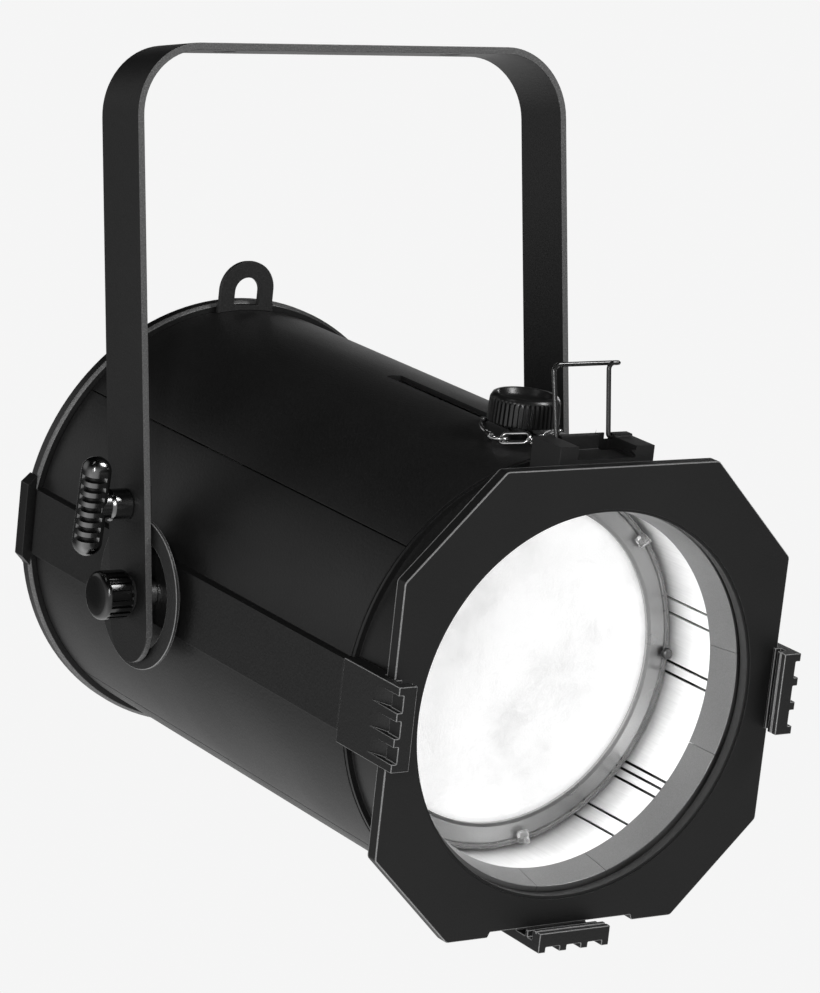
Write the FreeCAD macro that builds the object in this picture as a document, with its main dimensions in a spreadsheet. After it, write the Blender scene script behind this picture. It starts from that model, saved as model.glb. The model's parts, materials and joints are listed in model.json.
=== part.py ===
import FreeCAD, Part
import math
import os
import re
import Sketcher
from FreeCAD import Placement, Rotation, Vector

# A theatre Fresnel spotlight hung in a flat-bar yoke. Millimetres, +Z up, the lens faces -Y.
# The origin is the middle of the yoke's outer top face. The yoke's pieces and the head's pieces
# are each drawn about the tilt pivot, then put in place by yoke_place() and head_place().

doc = FreeCAD.newDocument("stage_fresnel")
sheet = doc.addObject("Spreadsheet::Sheet", "Sizes")

SIZES = {
    # yoke, bent from flat bar
    "yoke_half": 142.0,
    "strip_thick": 4.0,
    "strip_wide": 40.0,
    "pivot_drop": 300.0,
    "bend_radius": 40.0,
    "arm_below": 38.0,
    "clamp_pitch": 150.0,
    "clamp_hole": 6.5,
    "pivot_hole": 5.1,
    "brake_height": 49.0,
    "brake_hole": 4.2,
    # head
    "head_tilt": 12.2,
    "barrel_outer": 124.7,
    "wall": 3.0,
    "barrel_front": -195.7,
    "barrel_rear": 139.0,
    "rail_half": 22.0,
    "rail_low": 16.5,
    "rail_face": 128.3,
    "rail_round": 4.5,
    "cap_outer": 129.6,
    "cap_rear": 148.3,
    # front ring and bezel
    "neck_outer": 117.5,
    "neck_root": 121.0,
    "flange_front": -198.2,
    "neck_inner": 107.3,
    "neck_lip": 119.0,
    "neck_front": -226.0,
    "bezel_front_radius": 103.0,
    "bezel_rear_radius": 99.4,
    "bezel_rear": -210.3,
    # colour frame and its holders
    "frame_half": 122.5,
    "frame_top": 127.9,
    "frame_bottom": -124.7,
    "frame_front": -237.6,
    "frame_thick": 8.0,
    "top_chamfer": 55.2,
    "bottom_chamfer": 50.0,
    "notch_half": 47.0,
    "notch_deep": 3.0,
    "aperture": 106.3,
    "aperture_drop": 1.25,
    "holder_front": -251.0,
    "holder_rear": -198.5,
    "pocket_deep": 3.0,
    "pocket_half": 4.5,
    "pocket_pitch": 13.6,
    "pocket_flat": 14.0,
    "pocket_ramp": 10.0,
    "holder_half": 22.6,
    "lip_face": 117.5,
    # optics
    "liner_outer": 106.9,
    "liner_wall": 1.2,
    "liner_front": -209.8,
    "liner_rear": -4.0,
    "lens_radius": 91.5,
    "lens_face": -165.0,
    "lens_opening": 89.2,
    "carriage_outer": 100.6,
    "rod_radius": 3.0,
    "rod_circle": 113.5,
    "rod_angle": 12.0,
    "slot_half": 4.7,
    "slot_front": -165.0,
    "slot_rear": -26.0,
    "knob_spot": -152.0,
    "knob_radius": 19.5,
    "knob_bottom": 130.2,
    "knob_top": 145.5,
    "stud_radius": 4.0,
    # safety eye and lanyard anchor
    "eye_half": 17.9,
    "eye_top": 153.8,
    "eye_hole": 8.2,
    "eye_root": 127.6,
    "eye_thick": 3.0,
    "eye_spot": 136.6,
    "anchor_x": -8.8,
    "anchor_y": -128.6,
    # engine and rear
    "bulkhead": 14.0,
    "sink_front": 20.0,
    "sink_deep": 52.0,
    "fan_rear": 104.0,
    "panel_front": 142.8,
    "panel_rear": 145.8,
    # tray and wire latch
    "tray_half": 30.0,
    "tray_top": 137.0,
    "tray_floor": 129.8,
    "leg_slot": 1.6,
    "latch_y": -206.0,
    "latch_z": 135.2,
    "latch_half": 16.6,
    "latch_tall": 38.3,
    "latch_lean": 12.7,
    "latch_loop": 1.5,
    "wire": 1.25,
}

for row, (alias, value) in enumerate(SIZES.items(), start=1):
    sheet.set("A%d" % row, alias)
    sheet.set("B%d" % row, str(value))
    sheet.setAlias("B%d" % row, alias)
doc.recompute()

pieces = []


def formula(text):
    """Turn a plain formula in the sheet's words into an expression."""
    word = re.compile(r"[a-z_]+")
    return word.sub(lambda m: "Sizes." + m.group(0) if m.group(0) in SIZES else m.group(0), str(text))


def measure(text):
    """The value of a plain formula in the sheet's words."""
    doc.recompute()
    return float(sheet.evalExpression(formula(text)))


# ---- shapes bound to the sheet ------------------------------------------------------------------

TURN = {"X": Rotation(Vector(0, 1, 0), 90), "Y": Rotation(Vector(1, 0, 0), -90), "Z": Rotation()}


def fresh(kind, name):
    return doc.addObject(kind, name)


def block(name, x, y, z):
    """A box from its low and high value along each axis."""
    box = fresh("Part::Box", name)
    for side, axis, (low, high) in (("Length", "x", x), ("Width", "y", y), ("Height", "z", z)):
        box.setExpression(side, formula("(%s) - (%s)" % (high, low)))
        box.setExpression("Placement.Base." + axis, formula(low))
    return box


def rod(name, axis, radius, start, end, at=("0", "0")):
    """A cylinder along an axis; at gives its centre on the other two axes, in x, y, z order."""
    bar = fresh("Part::Cylinder", name)
    bar.Placement = Placement(Vector(), TURN[axis])
    bar.setExpression("Radius", formula(radius))
    bar.setExpression("Height", formula("(%s) - (%s)" % (end, start)))
    others = [a for a in "xyz" if a != axis.lower()]
    bar.setExpression("Placement.Base." + axis.lower(), formula(start))
    bar.setExpression("Placement.Base." + others[0], formula(at[0]))
    bar.setExpression("Placement.Base." + others[1], formula(at[1]))
    return bar


def sector(name, outer, start, end, high_angle, sweep):
    """A wedge of a cylinder along Y, from high_angle (from +X towards +Z) back through sweep."""
    bar = rod(name, "Y", outer, start, end)
    bar.Placement.Rotation = Rotation(Vector(0, 1, 0), -high_angle) * TURN["Y"]
    bar.Angle = sweep
    return bar


def join(name, *parts):
    whole = fresh("Part::MultiFuse", name)
    whole.Shapes = list(parts)
    return whole


def cut(name, base, *tools):
    tool = tools[0] if len(tools) == 1 else join(name + "_tools", *tools)
    rest = fresh("Part::Cut", name)
    rest.Base = base
    rest.Tool = tool
    return rest


def group(name, *parts):
    """Several separate solids that make one node."""
    whole = fresh("Part::Compound", name)
    whole.Links = list(parts)
    return whole


def ring(name, axis, outer, inner, start, end, at=("0", "0")):
    return cut(name, rod(name + "_rim", axis, outer, start, end, at),
               rod(name + "_bore", axis, inner, "(%s) - 1" % start, "(%s) + 1" % end, at))


def turned_copy(name, source, angle):
    """A copy of a shape, turned about the Y axis by angle."""
    copy = fresh("Part::Compound", name)
    copy.Links = [source]
    copy.Placement = Placement(Vector(), Rotation(Vector(0, 1, 0), angle))
    return copy


def origin_plane(body, role):
    return [item for item in body.Origin.OriginFeatures if item.Role == role][0]


def outline_sketch(body, plane, corners, circles=()):
    """A closed outline whose corners, and whose circles' centres, are formulas of the sheet."""
    sketch = body.newObject("Sketcher::SketchObject", body.Name + "_outline")
    sketch.AttachmentSupport = (origin_plane(body, plane), "")
    sketch.MapMode = "FlatFace"
    spots = [Vector(measure(x), measure(y), 0) for x, y in corners]
    for first, second in zip(spots, spots[1:] + spots[:1]):
        sketch.addGeometry(Part.LineSegment(first, second), False)
    last = len(spots) - 1
    for line in range(len(spots)):
        before = last if line == 0 else line - 1
        sketch.addConstraint(Sketcher.Constraint("Coincident", before, 2, line, 1))
    for line, (x, y) in enumerate(corners):
        pin_point(sketch, line, 1, x, y, spots[line])
    for x, y, radius in circles:
        centre = Vector(measure(x), measure(y), 0)
        hole = sketch.addGeometry(Part.Circle(centre, Vector(0, 0, 1), measure(radius)), False)
        pin_point(sketch, hole, 3, x, y, centre)
        bound(sketch, "Radius", (hole, measure(radius)), radius)
    return sketch


def pin_point(sketch, shape, point, x, y, spot):
    bound(sketch, "DistanceX", (-1, 1, shape, point, spot.x), x)
    bound(sketch, "DistanceY", (-1, 1, shape, point, spot.y), y)


def bound(sketch, kind, places, text):
    index = sketch.addConstraint(Sketcher.Constraint(kind, *places))
    sketch.setExpression("Constraints[%d]" % index, formula(text))


def padded(name, plane, corners, deep, circles=()):
    """A plate padded evenly to both sides of an origin plane."""
    body = fresh("PartDesign::Body", name)
    sketch = outline_sketch(body, plane, corners, circles)
    pad = body.newObject("PartDesign::Pad", name + "_pad")
    pad.Profile = sketch
    pad.SideType = "Symmetric"
    pad.setExpression("Length", formula(deep))
    sketch.Visibility = False
    doc.recompute()
    return body


def turned(name, corners):
    """A ring turned about the barrel axis from corners given as (radius, y)."""
    body = fresh("PartDesign::Body", name)
    sketch = outline_sketch(body, "XY_Plane", corners)
    spin = body.newObject("PartDesign::Revolution", name + "_turned")
    spin.Profile = sketch
    spin.ReferenceAxis = (sketch, ["V_Axis"])
    spin.Angle = 360
    doc.recompute()
    return body


def edges_along(shape, direction, test):
    """Names of the straight edges of a shape that run along direction and pass a test."""
    names = []
    for number, edge in enumerate(shape.Edges, start=1):
        if edge.Curve.TypeId == "Part::GeomLine":
            if edge.tangentAt(edge.FirstParameter).cross(direction).Length < 1e-6:
                if test(edge.CenterOfMass):
                    names.append("Edge%d" % number)
    return names


def soften(body, radius, direction, test, label):
    """Round chosen straight edges of a PartDesign body."""
    base = body.Tip
    names = edges_along(body.Shape, direction, test)
    round_off = body.newObject("PartDesign::Fillet", body.Name + "_" + label)
    round_off.Base = (base, names)
    round_off.setExpression("Radius", formula(radius))
    doc.recompute()


def through(body, plane, circles, label):
    """Drill round holes right through a body, square to an origin plane."""
    before = body.Shape.Volume
    sketch = body.newObject("Sketcher::SketchObject", body.Name + "_" + label + "_spots")
    sketch.AttachmentSupport = (origin_plane(body, plane), "")
    sketch.MapMode = "FlatFace"
    for x, y, radius in circles:
        centre = Vector(measure(x), measure(y), 0)
        hole = sketch.addGeometry(Part.Circle(centre, Vector(0, 0, 1), measure(radius)), False)
        pin_point(sketch, hole, 3, x, y, centre)
        bound(sketch, "Radius", (hole, measure(radius)), radius)
    drill = body.newObject("PartDesign::Pocket", body.Name + "_" + label)
    drill.Profile = sketch
    drill.SideType = "Symmetric"
    drill.Length = 4 * SIZES["pivot_drop"]
    doc.recompute()
    if body.Shape.Volume > before - 1.0:
        raise RuntimeError(body.Name + ": " + label + " cut nothing")


# ---- placing finished pieces --------------------------------------------------------------------

def wrapped(shape):
    """A shape with a placement of its own is wrapped, so that the wrapper carries the group's."""
    if shape.TypeId in ("Part::Box", "Part::Cylinder") or not shape.Placement.isIdentity():
        return group(shape.Name + "_piece", shape)
    return shape


def yoke_place(shape, label):
    """Keep a piece of the yoke: it is drawn about the pivot and hangs below the origin."""
    item = wrapped(shape)
    item.setExpression("Placement.Base.z", formula("-pivot_drop"))
    item.Label = label
    pieces.append(item)


def head_place(shape, label):
    """Keep a piece of the head: it is drawn level about the pivot and tips with the head."""
    item = wrapped(shape)
    item.Placement = Placement(Vector(), Rotation(Vector(1, 0, 0), SIZES["head_tilt"]))
    item.setExpression("Placement.Base.z", formula("-pivot_drop"))
    item.setExpression("Placement.Rotation.Angle", formula("head_tilt"))
    item.Label = label
    pieces.append(item)


# ---- yoke and tilt lock -------------------------------------------------------------------------

def make_yoke():
    inner = "yoke_half - strip_thick"
    under = "pivot_drop - strip_thick"
    corners = [("-yoke_half", "-arm_below"), ("-yoke_half", "pivot_drop"), ("yoke_half", "pivot_drop"),
               ("yoke_half", "-arm_below"), (inner, "-arm_below"), (inner, under),
               ("-(%s)" % inner, under), ("-(%s)" % inner, "-arm_below")]
    yoke = padded("yoke_strip", "XZ_Plane", corners, "strip_wide")
    along_y = Vector(0, 1, 0)
    soften(yoke, "bend_radius - strip_thick", along_y, lambda p: 290 < p.z < 297, "inner_bends")
    soften(yoke, "bend_radius", along_y, lambda p: p.z > 298, "outer_bends")
    soften(yoke, "strip_wide / 2 - 0.1", Vector(1, 0, 0), lambda p: p.z < -30, "arm_ends")
    half_pitch = "clamp_pitch / 2"
    through(yoke, "XY_Plane", [("-" + half_pitch, "0", "clamp_hole"), (half_pitch, "0", "clamp_hole")],
            "clamp_holes")
    through(yoke, "YZ_Plane", [("0", "0", "pivot_hole")], "pivot_holes")
    brake = rod("yoke_brake_bore", "X", "brake_hole", "-yoke_half - 5", "-100", ("0", "brake_height"))
    yoke_place(cut("yoke_drilled", yoke, brake), "yoke")


def both_sides(source, label):
    """Keep one piece of the head on the right and the same piece on the left, as one node."""
    pair = group(source.Name + "_pair", turned_copy(source.Name + "_on_right", source, 0),
                 turned_copy(source.Name + "_on_left", source, 180))
    head_place(pair, label)


def make_pivots():
    inner_face = "yoke_half - strip_thick"
    disc = ring("friction_disc", "X", "42.4", "32", "rail_face + 5.6", "rail_face + 7.6")
    neck = ring("friction_neck", "X", "34", "32", "rail_face + 0.1", "rail_face + 5.7")
    both_sides(join("friction_shapes", disc, neck), "friction_rings")
    boss = ring("boss", "X", "9.5", "5.1", "rail_face + 0.1", inner_face + " - 1.1")
    both_sides(boss, "pivot_bosses")
    washer = ring("fibre", "X", "14", "5.3", inner_face + " - 1", inner_face + " - 0.1")
    both_sides(washer, "fibre_washers")
    # left: a stud with a fluted clamping knob
    stud = join("left_stud_shapes", rod("left_stud_shank", "X", "5", "-yoke_half - 16", "-rail_face + 12"),
                rod("left_stud_head", "X", "9", "-rail_face + 6.4", "-rail_face + 12"))
    head_place(stud, "pivot_stud_left")
    head_place(ring("collar", "X", "10.6", "5.2", "-yoke_half - 3", "-yoke_half - 0.1"), "knob_collar")
    grip = rod("knob_grip", "X", "13.6", "-yoke_half - 20.5", "-yoke_half - 3.1")
    bore = rod("knob_bore", "X", "5.06", "-yoke_half - 16.3", "-yoke_half - 2")
    flute = rod("knob_flute", "X", "1.3", "-yoke_half - 18.5", "-yoke_half - 2", ("14.1", "0"))
    flutes = []
    for turn in range(18):
        groove = fresh("Part::Compound", "knob_flute_%d" % turn)
        groove.Links = [flute]
        groove.Placement = Placement(Vector(), Rotation(Vector(1, 0, 0), turn * 20.0))
        flutes.append(groove)
    head_place(cut("pivot_knob_shape", grip, bore, *flutes), "pivot_knob")
    # right: a hexagon bolt on a washer
    shank = rod("right_bolt_shank", "X", "5", "rail_face - 12", "yoke_half + 3")
    head = fresh("Part::Prism", "right_bolt_head")
    head.Polygon = 6
    head.Circumradius = 9.8
    head.Height = 6.4
    head.Placement = Placement(Vector(), TURN["X"])
    head.setExpression("Placement.Base.x", formula("yoke_half + 2.1"))
    head_place(join("right_bolt", shank, head), "pivot_bolt_right")
    head_place(ring("flat_washer", "X", "10.5", "5.2", "yoke_half + 0.1", "yoke_half + 2"), "pivot_washer")


def make_brake():
    at = ("0", "brake_height")
    stem = rod("brake_stem", "X", "9", "-yoke_half - 14.4", "-yoke_half - 0.2", at)
    shank = rod("brake_shank", "X", "4", "-yoke_half - 10", "-rail_face - 1.4", at)
    length = rod("brake_grip_bar", "Z", "8", "brake_height - 20.5", "brake_height + 20.5",
                 ("-yoke_half - 21.5", "0"))
    ends = []
    for word, high in (("low", "brake_height - 20.5"), ("high", "brake_height + 20.5")):
        ball = fresh("Part::Sphere", "brake_grip_" + word)
        ball.Radius = 8
        ball.setExpression("Placement.Base.x", formula("-yoke_half - 21.5"))
        ball.setExpression("Placement.Base.z", formula(high))
        ends.append(ball)
    upright = cut("brake_grip_upright", join("brake_grip_solid", length, stem, *ends),
                  rod("brake_grip_bore", "X", "4", "-yoke_half - 10", "-yoke_half", at))
    leaning = fresh("Part::Compound", "brake_grip_leaning")
    leaning.Links = [upright]
    leaning.Placement = Placement(Vector(), Rotation(Vector(1, 0, 0), 17),
                                  Vector(0, 0, SIZES["brake_height"]))
    yoke_place(leaning, "tilt_lock_handle")
    yoke_place(shank, "tilt_lock_bolt")
    jaw = block("jaw_block", ("-yoke_half + strip_thick + 0.2", "-rail_face - 0.6"), ("-5.6", "9"),
                ("40", "59"))
    rim = rod("jaw_rim", "X", "42.8", "-yoke_half", "-100")
    yoke_place(cut("jaw", jaw, rim, rod("jaw_bore", "X", "4.06", "-yoke_half", "-100", at)), "brake_jaw")


# ---- housing ------------------------------------------------------------------------------------

SEAM_ANGLE = 43.0


def make_housing():
    inside = "barrel_outer - wall"
    long_cut = ("barrel_front - 5", "barrel_rear + 5")
    hollow = rod("barrel_hollow", "Y", inside, *long_cut)
    gap = 0.1

    def wedge(name, high, low):
        return sector(name + "_solid", "barrel_outer", "barrel_front", "barrel_rear",
                      high - gap, high - low - 2 * gap)

    slot = block("focus_slot", ("-slot_half", "slot_half"), ("slot_front", "slot_rear"), ("100", "140"))
    screws = cover_screw_spots()
    head_place(cut("top_cover_shape", wedge("top", 140.5, 39.5), hollow, slot,
                   *[drill for drill, _ in screws]), "top_cover")
    head_place(group("cover_screws_shape", *[screw for _, screw in screws]), "cover_screws")
    head_place(cut("bottom_cover_shape", wedge("bottom", -47.0, -133.0), hollow), "bottom_cover")
    # side castings: the curved wall and the raised rail that carries the pivot
    rail = block("side_rail", (inside + " - 6", "rail_face"), ("holder_rear + 0.3", "barrel_rear"),
                 ("-rail_low", "rail_half"))
    bore = rod("side_bore", "X", "5.1", "90", "140")
    corner = block("rail_corner", ("rail_face - rail_round", "rail_face + 1"),
                   ("barrel_rear - rail_round", "barrel_rear + 1"), ("-rail_low - 5", "rail_half + 5"))
    rounder = rod("rail_rounder", "Z", "rail_round", "-rail_low - 6", "rail_half + 6",
                  ("rail_face - rail_round", "barrel_rear - rail_round"))
    side = cut("side_casting_shape", join("side_casting_solid", wedge("side", 39.5, -47.0), rail), hollow, bore,
               cut("rail_end_waste", corner, rounder),
               rod("side_stud_seat", "X", "9.2", "90", "rail_face - 6.3"),
               rod("side_flange_room", "Y", "barrel_outer - 0.2", "neck_front", "barrel_front - 0.1"))
    mirrored = fresh("Part::Mirroring", "side_casting_mirror")
    mirrored.Source = side
    mirrored.Normal = Vector(1, 0, 0)
    head_place(group("side_casting_on_right", side), "side_casting_right")
    head_place(group("side_casting_on_left", mirrored), "side_casting_left")


def cover_screw_spots():
    """Each screw's hole and the screw: three along the cover's right edge, one for the lanyard."""
    spots = []
    for number, along in enumerate(("barrel_front + 22", "barrel_front + 165", "barrel_rear - 20")):
        name = "cover_screw_%d" % number
        drill = radial_rod(name + "_hole", "3.1", "barrel_outer - 1.6", "barrel_outer + 3", along, SEAM_ANGLE)
        shank_hole = radial_rod(name + "_bore", "1.6", "100", "barrel_outer + 1", along, SEAM_ANGLE)
        head = radial_rod(name + "_head", "2.9", "barrel_outer - 1.5", "barrel_outer + 0.2", along, SEAM_ANGLE)
        shank = radial_rod(name + "_shank", "1.5", "barrel_outer - 8", "barrel_outer - 1", along, SEAM_ANGLE)
        spots.append((join(name + "_drill", drill, shank_hole), join(name + "_whole", head, shank)))
    spot = ("anchor_x", "anchor_y")
    shank = rod("anchor_shank", "Z", "1.2", "119", "barrel_outer + 0.4", spot)
    head = rod("anchor_head", "Z", "2", "barrel_outer + 0.3", "barrel_outer + 2.3", spot)
    spots.append((rod("anchor_drill", "Z", "1.3", "110", "130", spot), join("anchor_rivet", shank, head)))
    return spots


def radial_rod(name, radius, low, high, along, angle):
    """A small cylinder pointing out from the barrel axis, angle measured from straight up."""
    bar = rod(name, "Z", radius, low, high, ("0", along))
    return turned_copy(name + "_turned", bar, angle)


def make_rear():
    ring_inner = "cap_outer - 4"
    band = turned("rear_cap_turned", [
        (ring_inner, "barrel_rear + 0.3"), ("cap_outer - 1.8", "barrel_rear + 0.3"),
        ("cap_outer", "barrel_rear + 2.1"), ("cap_outer", "cap_rear - 1.5"),
        ("cap_outer - 1.5", "cap_rear"), (ring_inner, "cap_rear"),
        (ring_inner, "panel_front - 0.1"), ("118", "panel_front - 0.1"), ("118", "barrel_rear - 12"),
        ("121.2", "barrel_rear - 12"), ("121.2", "barrel_rear + 0.3")])
    proud = "rail_face + 4"
    root = "cap_outer - 3"
    outline = [(root, "rail_half + 7.2"), (proud, "rail_half + 2"), (proud, "-rail_low - 2.2"),
               (root, "-rail_low - 8")]
    bump = padded("rear_cap_bump", "XZ_Plane", outline, "cap_rear - barrel_rear - 0.3")
    right = fresh("Part::Compound", "rear_cap_bump_right")
    right.Links = [bump]
    right.setExpression("Placement.Base.y", formula("(cap_rear + barrel_rear + 0.3) / 2"))
    left = fresh("Part::Mirroring", "rear_cap_bump_left")
    left.Source = right
    left.Normal = Vector(1, 0, 0)
    head_place(join("rear_cap_shape", band, right, left), "rear_cap")


# ---- front ring and colour frame ----------------------------------------------------------------

def make_front():
    spigot = "barrel_front + 4.5"
    flange = "barrel_outer - 0.5"
    tube = turned("front_ring_turned", [
        ("neck_inner", "neck_front"), ("neck_lip - 0.6", "neck_front"), ("neck_lip", "neck_front + 0.6"),
        ("neck_lip", "neck_front + 4"), ("neck_outer", "neck_front + 4.6"),
        ("neck_root", "flange_front"), (flange, "flange_front"), (flange, "barrel_front - 0.2"),
        ("121.3", "barrel_front - 0.2"), ("121.3", spigot), ("neck_inner", spigot)])
    rods = [turned_copy("front_ring_rod_%d" % i, rod("front_rod_%d" % i, "Y", "rod_radius + 0.05",
                                                    "barrel_front", "0", ("rod_circle", "0")), angle)
            for i, angle in enumerate(rod_places())]
    head_place(cut("front_ring_shape", tube, *rods), "front_ring")
    head_place(turned("bezel_turned", [
        ("bezel_front_radius", "neck_front - 3.4"), ("neck_inner - 0.1", "neck_front - 3.4"),
        ("neck_inner - 0.1", "bezel_rear"), ("bezel_rear_radius", "bezel_rear")]), "front_bezel")


def rod_places():
    """Angles of the two lens guide rods, one low on each side."""
    return (SIZES["rod_angle"], 180.0 - SIZES["rod_angle"])


def make_colour_frame():
    across = "frame_half - top_chamfer"
    across_low = "frame_half - bottom_chamfer"
    deep = "frame_bottom + notch_deep"
    corners = [("-(%s)" % across, "frame_top"), (across, "frame_top"),
               ("frame_half", "frame_top - top_chamfer"), ("frame_half", "frame_bottom + bottom_chamfer"),
               (across_low, "frame_bottom"), ("notch_half", "frame_bottom"), ("notch_half", deep),
               ("-notch_half", deep), ("-notch_half", "frame_bottom"), ("-(%s)" % across_low, "frame_bottom"),
               ("-frame_half", "frame_bottom + bottom_chamfer"), ("-frame_half", "frame_top - top_chamfer")]
    plate = padded("colour_frame_plate", "XZ_Plane", corners, "frame_thick",
                   [("0", "-aperture_drop", "aperture")])
    soften(plate, "3", Vector(0, 1, 0), lambda p: abs(p.x) > 60, "corners")
    pocket = block("filter_pocket", ("-52", "52"), ("-1.2", "1.2"), ("frame_top - 12", "frame_top + 5"))
    rim = ring("aperture_roll", "Y", "aperture + 0.4", "aperture - 1.6", "-frame_thick / 2 + 0.8",
               "frame_thick / 2 - 0.8", ("0", "-aperture_drop"))
    whole = join("colour_frame_centred", cut("colour_frame_pocketed", plate, pocket), rim)
    placed = fresh("Part::Compound", "colour_frame_shape")
    placed.Links = [whole]
    placed.setExpression("Placement.Base.y", formula("frame_front + frame_thick / 2"))
    head_place(group("colour_frame_group", placed), "colour_frame")


def holder_shape():
    """One accessory holder, drawn on the left (-X) side: two slots behind a front lip."""
    half = ("-holder_half", "holder_half")
    body = block("holder_body", ("-rail_face", "-neck_outer + 3"), ("frame_front + frame_thick + 0.3",
                                                                   "holder_rear"), half)
    spine = block("holder_spine", ("-rail_face", "-frame_half - 0.5"), ("holder_front", "holder_rear"), half)
    middle_lip = block("holder_middle_lip", ("-rail_face", "-lip_face - 2"),
                       ("frame_front - 2.2", "frame_front - 0.3"), half)
    front_lip = block("holder_front_lip", ("-rail_face", "-lip_face"), ("holder_front", "holder_front + 7"),
                      half)
    lip_groove = block("holder_lip_groove", ("-lip_face - 0.8", "-lip_face + 1"),
                       ("holder_front + 3.4", "holder_front + 4.4"), ("-30", "30"))
    slope = math.degrees(math.atan2(SIZES["pocket_deep"], SIZES["pocket_ramp"]))
    pockets = []
    for number in range(3):
        middle = "%d * pocket_pitch" % (number - 1)
        across = (middle + " - pocket_half", middle + " + pocket_half")
        floor = block("holder_pocket_%d" % number, ("-rail_face - 1", "-rail_face + pocket_deep"),
                      ("holder_front - 1", "holder_front + pocket_flat"), across)
        wedge = block("holder_wedge_%d" % number, ("-8", "0"), ("-pocket_flat", "0"), across)
        ramp = fresh("Part::Compound", "holder_ramp_%d" % number)
        ramp.Links = [wedge]
        ramp.Placement = Placement(Vector(), Rotation(Vector(0, 0, 1), slope))
        ramp.setExpression("Placement.Base.x", formula("-rail_face"))
        ramp.setExpression("Placement.Base.y", formula("holder_front + pocket_flat + pocket_ramp"))
        pockets += [floor, ramp]
    solid = join("holder_solid", body, spine, middle_lip, front_lip)
    return cut("holder_cut", solid, lip_groove, *pockets)


def ring_room(name):
    """The space that the front ring takes out of a piece mounted on it."""
    return rod(name + "_ring_room", "Y", "neck_root + 0.3", "neck_front - 0.3", "-190")


def make_holders():
    holder = holder_shape()
    for word, angle, lift in (("left", 0, 0.0), ("right", 180, 0.0), ("bottom", -90, -2.9)):
        placed = turned_copy("holder_" + word, holder, angle)
        placed.Placement.Base = Vector(0, 0, lift)
        head_place(cut("holder_shape_" + word, placed, ring_room("holder_" + word)), "frame_holder_" + word)


def make_tray():
    """A shallow cast tray on the front ring: a block at each end and a rear wall that holds the latch."""
    front = "frame_front + frame_thick + 0.4"
    rear = "latch_y + 2.5"
    inner = "latch_half + leg_slot"
    base = block("tray_base", ("-tray_half", "tray_half"), (front, rear), ("110", "tray_floor"))
    wall = block("tray_wall", ("-tray_half", "tray_half"), ("latch_y - 3", rear), ("110", "tray_top"))
    left = block("tray_left_block", ("-tray_half", "-(%s)" % inner), (front, rear), ("110", "tray_top"))
    right = block("tray_right_block", (inner, "tray_half"), (front, rear), ("110", "tray_top - 1"))
    tooth = block("tray_tooth_square", ("-1.7", "1.7"), ("0", "2.5"), ("-1.7", "1.7"))
    turned_tooth = turned_copy("tray_tooth", tooth, 45)
    turned_tooth.setExpression("Placement.Base.x", formula(inner + " - 0.4"))
    turned_tooth.setExpression("Placement.Base.y", formula(front))
    turned_tooth.setExpression("Placement.Base.z", formula("tray_top - 3.6"))
    shelf = block("tray_shelf", ("-15", "-8.5"), (rear + " - 1", rear + " + 4.6"), ("127.5", "tray_top - 2.4"))
    post = rod("tray_post", "Z", "0.8", "tray_top - 3", "tray_top + 3", ("-11.6", rear + " + 3.4"))
    cuts = [block("tray_%s_slot" % word, (low, high), ("frame_front", "latch_y + 5"),
                  ("latch_z - leg_slot", "150"))
            for word, low, high in (("left", "-(%s)" % inner, "leg_slot - latch_half"),
                                    ("right", "latch_half - leg_slot", inner))]
    cuts.append(block("tray_recess", ("9", inner), ("latch_y - 5.5", "latch_y + 1.3"), ("124", "150")))
    cuts.append(rod("tray_axle_hole", "X", "wire + 0.06", "-latch_half - 7.4", "latch_half + 7.4",
                    ("latch_y", "latch_z")))
    head_place(cut("tray_shape", join("tray_solid", base, wall, left, right, turned_tooth, shelf, post),
                   ring_room("tray"), *cuts), "top_tray")


def make_latch():
    """A bent wire: feet in the tray, two legs, and a bar across the top that doubles back at its end."""
    half = SIZES["latch_half"]
    tall = SIZES["latch_tall"]
    back = SIZES["latch_loop"]
    foot = half + 6.5
    end = half + 6.8
    path = rounded_path([Vector(-foot, 0, 0), Vector(-half, 0, 0), Vector(-half, back, tall),
                         Vector(end, back, tall), Vector(end, -back, tall), Vector(half, -back, tall),
                         Vector(half, 0, 0), Vector(foot, 0, 0)],
                        [1.5, 4.0, back - 0.05, back - 0.05, 3.4, 1.5])
    latch = doc.addObject("Part::Feature", "latch_wire")
    latch.Shape = tube_along(path, SIZES["wire"])
    standing = fresh("Part::Compound", "latch_standing")
    standing.Links = [latch]
    standing.Placement = Placement(Vector(), Rotation(Vector(1, 0, 0), -SIZES["latch_lean"]))
    standing.setExpression("Placement.Base.y", formula("latch_y"))
    standing.setExpression("Placement.Base.z", formula("latch_z"))
    head_place(group("latch_group", standing), "wire_latch")


def rounded_path(points, radii):
    """Straight runs through points, each inner corner rounded to its radius."""
    edges = []
    start = points[0]
    for corner, after, radius in zip(points[1:], points[2:], radii):
        inward = (start - corner).normalize()
        onward = (after - corner).normalize()
        half_turn = inward.getAngle(onward) / 2.0
        reach = radius / math.tan(half_turn)
        first = corner + inward * reach
        last = corner + onward * reach
        middle_way = (inward + onward).normalize()
        middle = corner + middle_way * (radius / math.sin(half_turn) - radius)
        edges.append(Part.LineSegment(start, first).toShape())
        edges.append(Part.Arc(first, middle, last).toShape())
        start = last
    edges.append(Part.LineSegment(start, points[-1]).toShape())
    return Part.Wire(edges)


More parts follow.
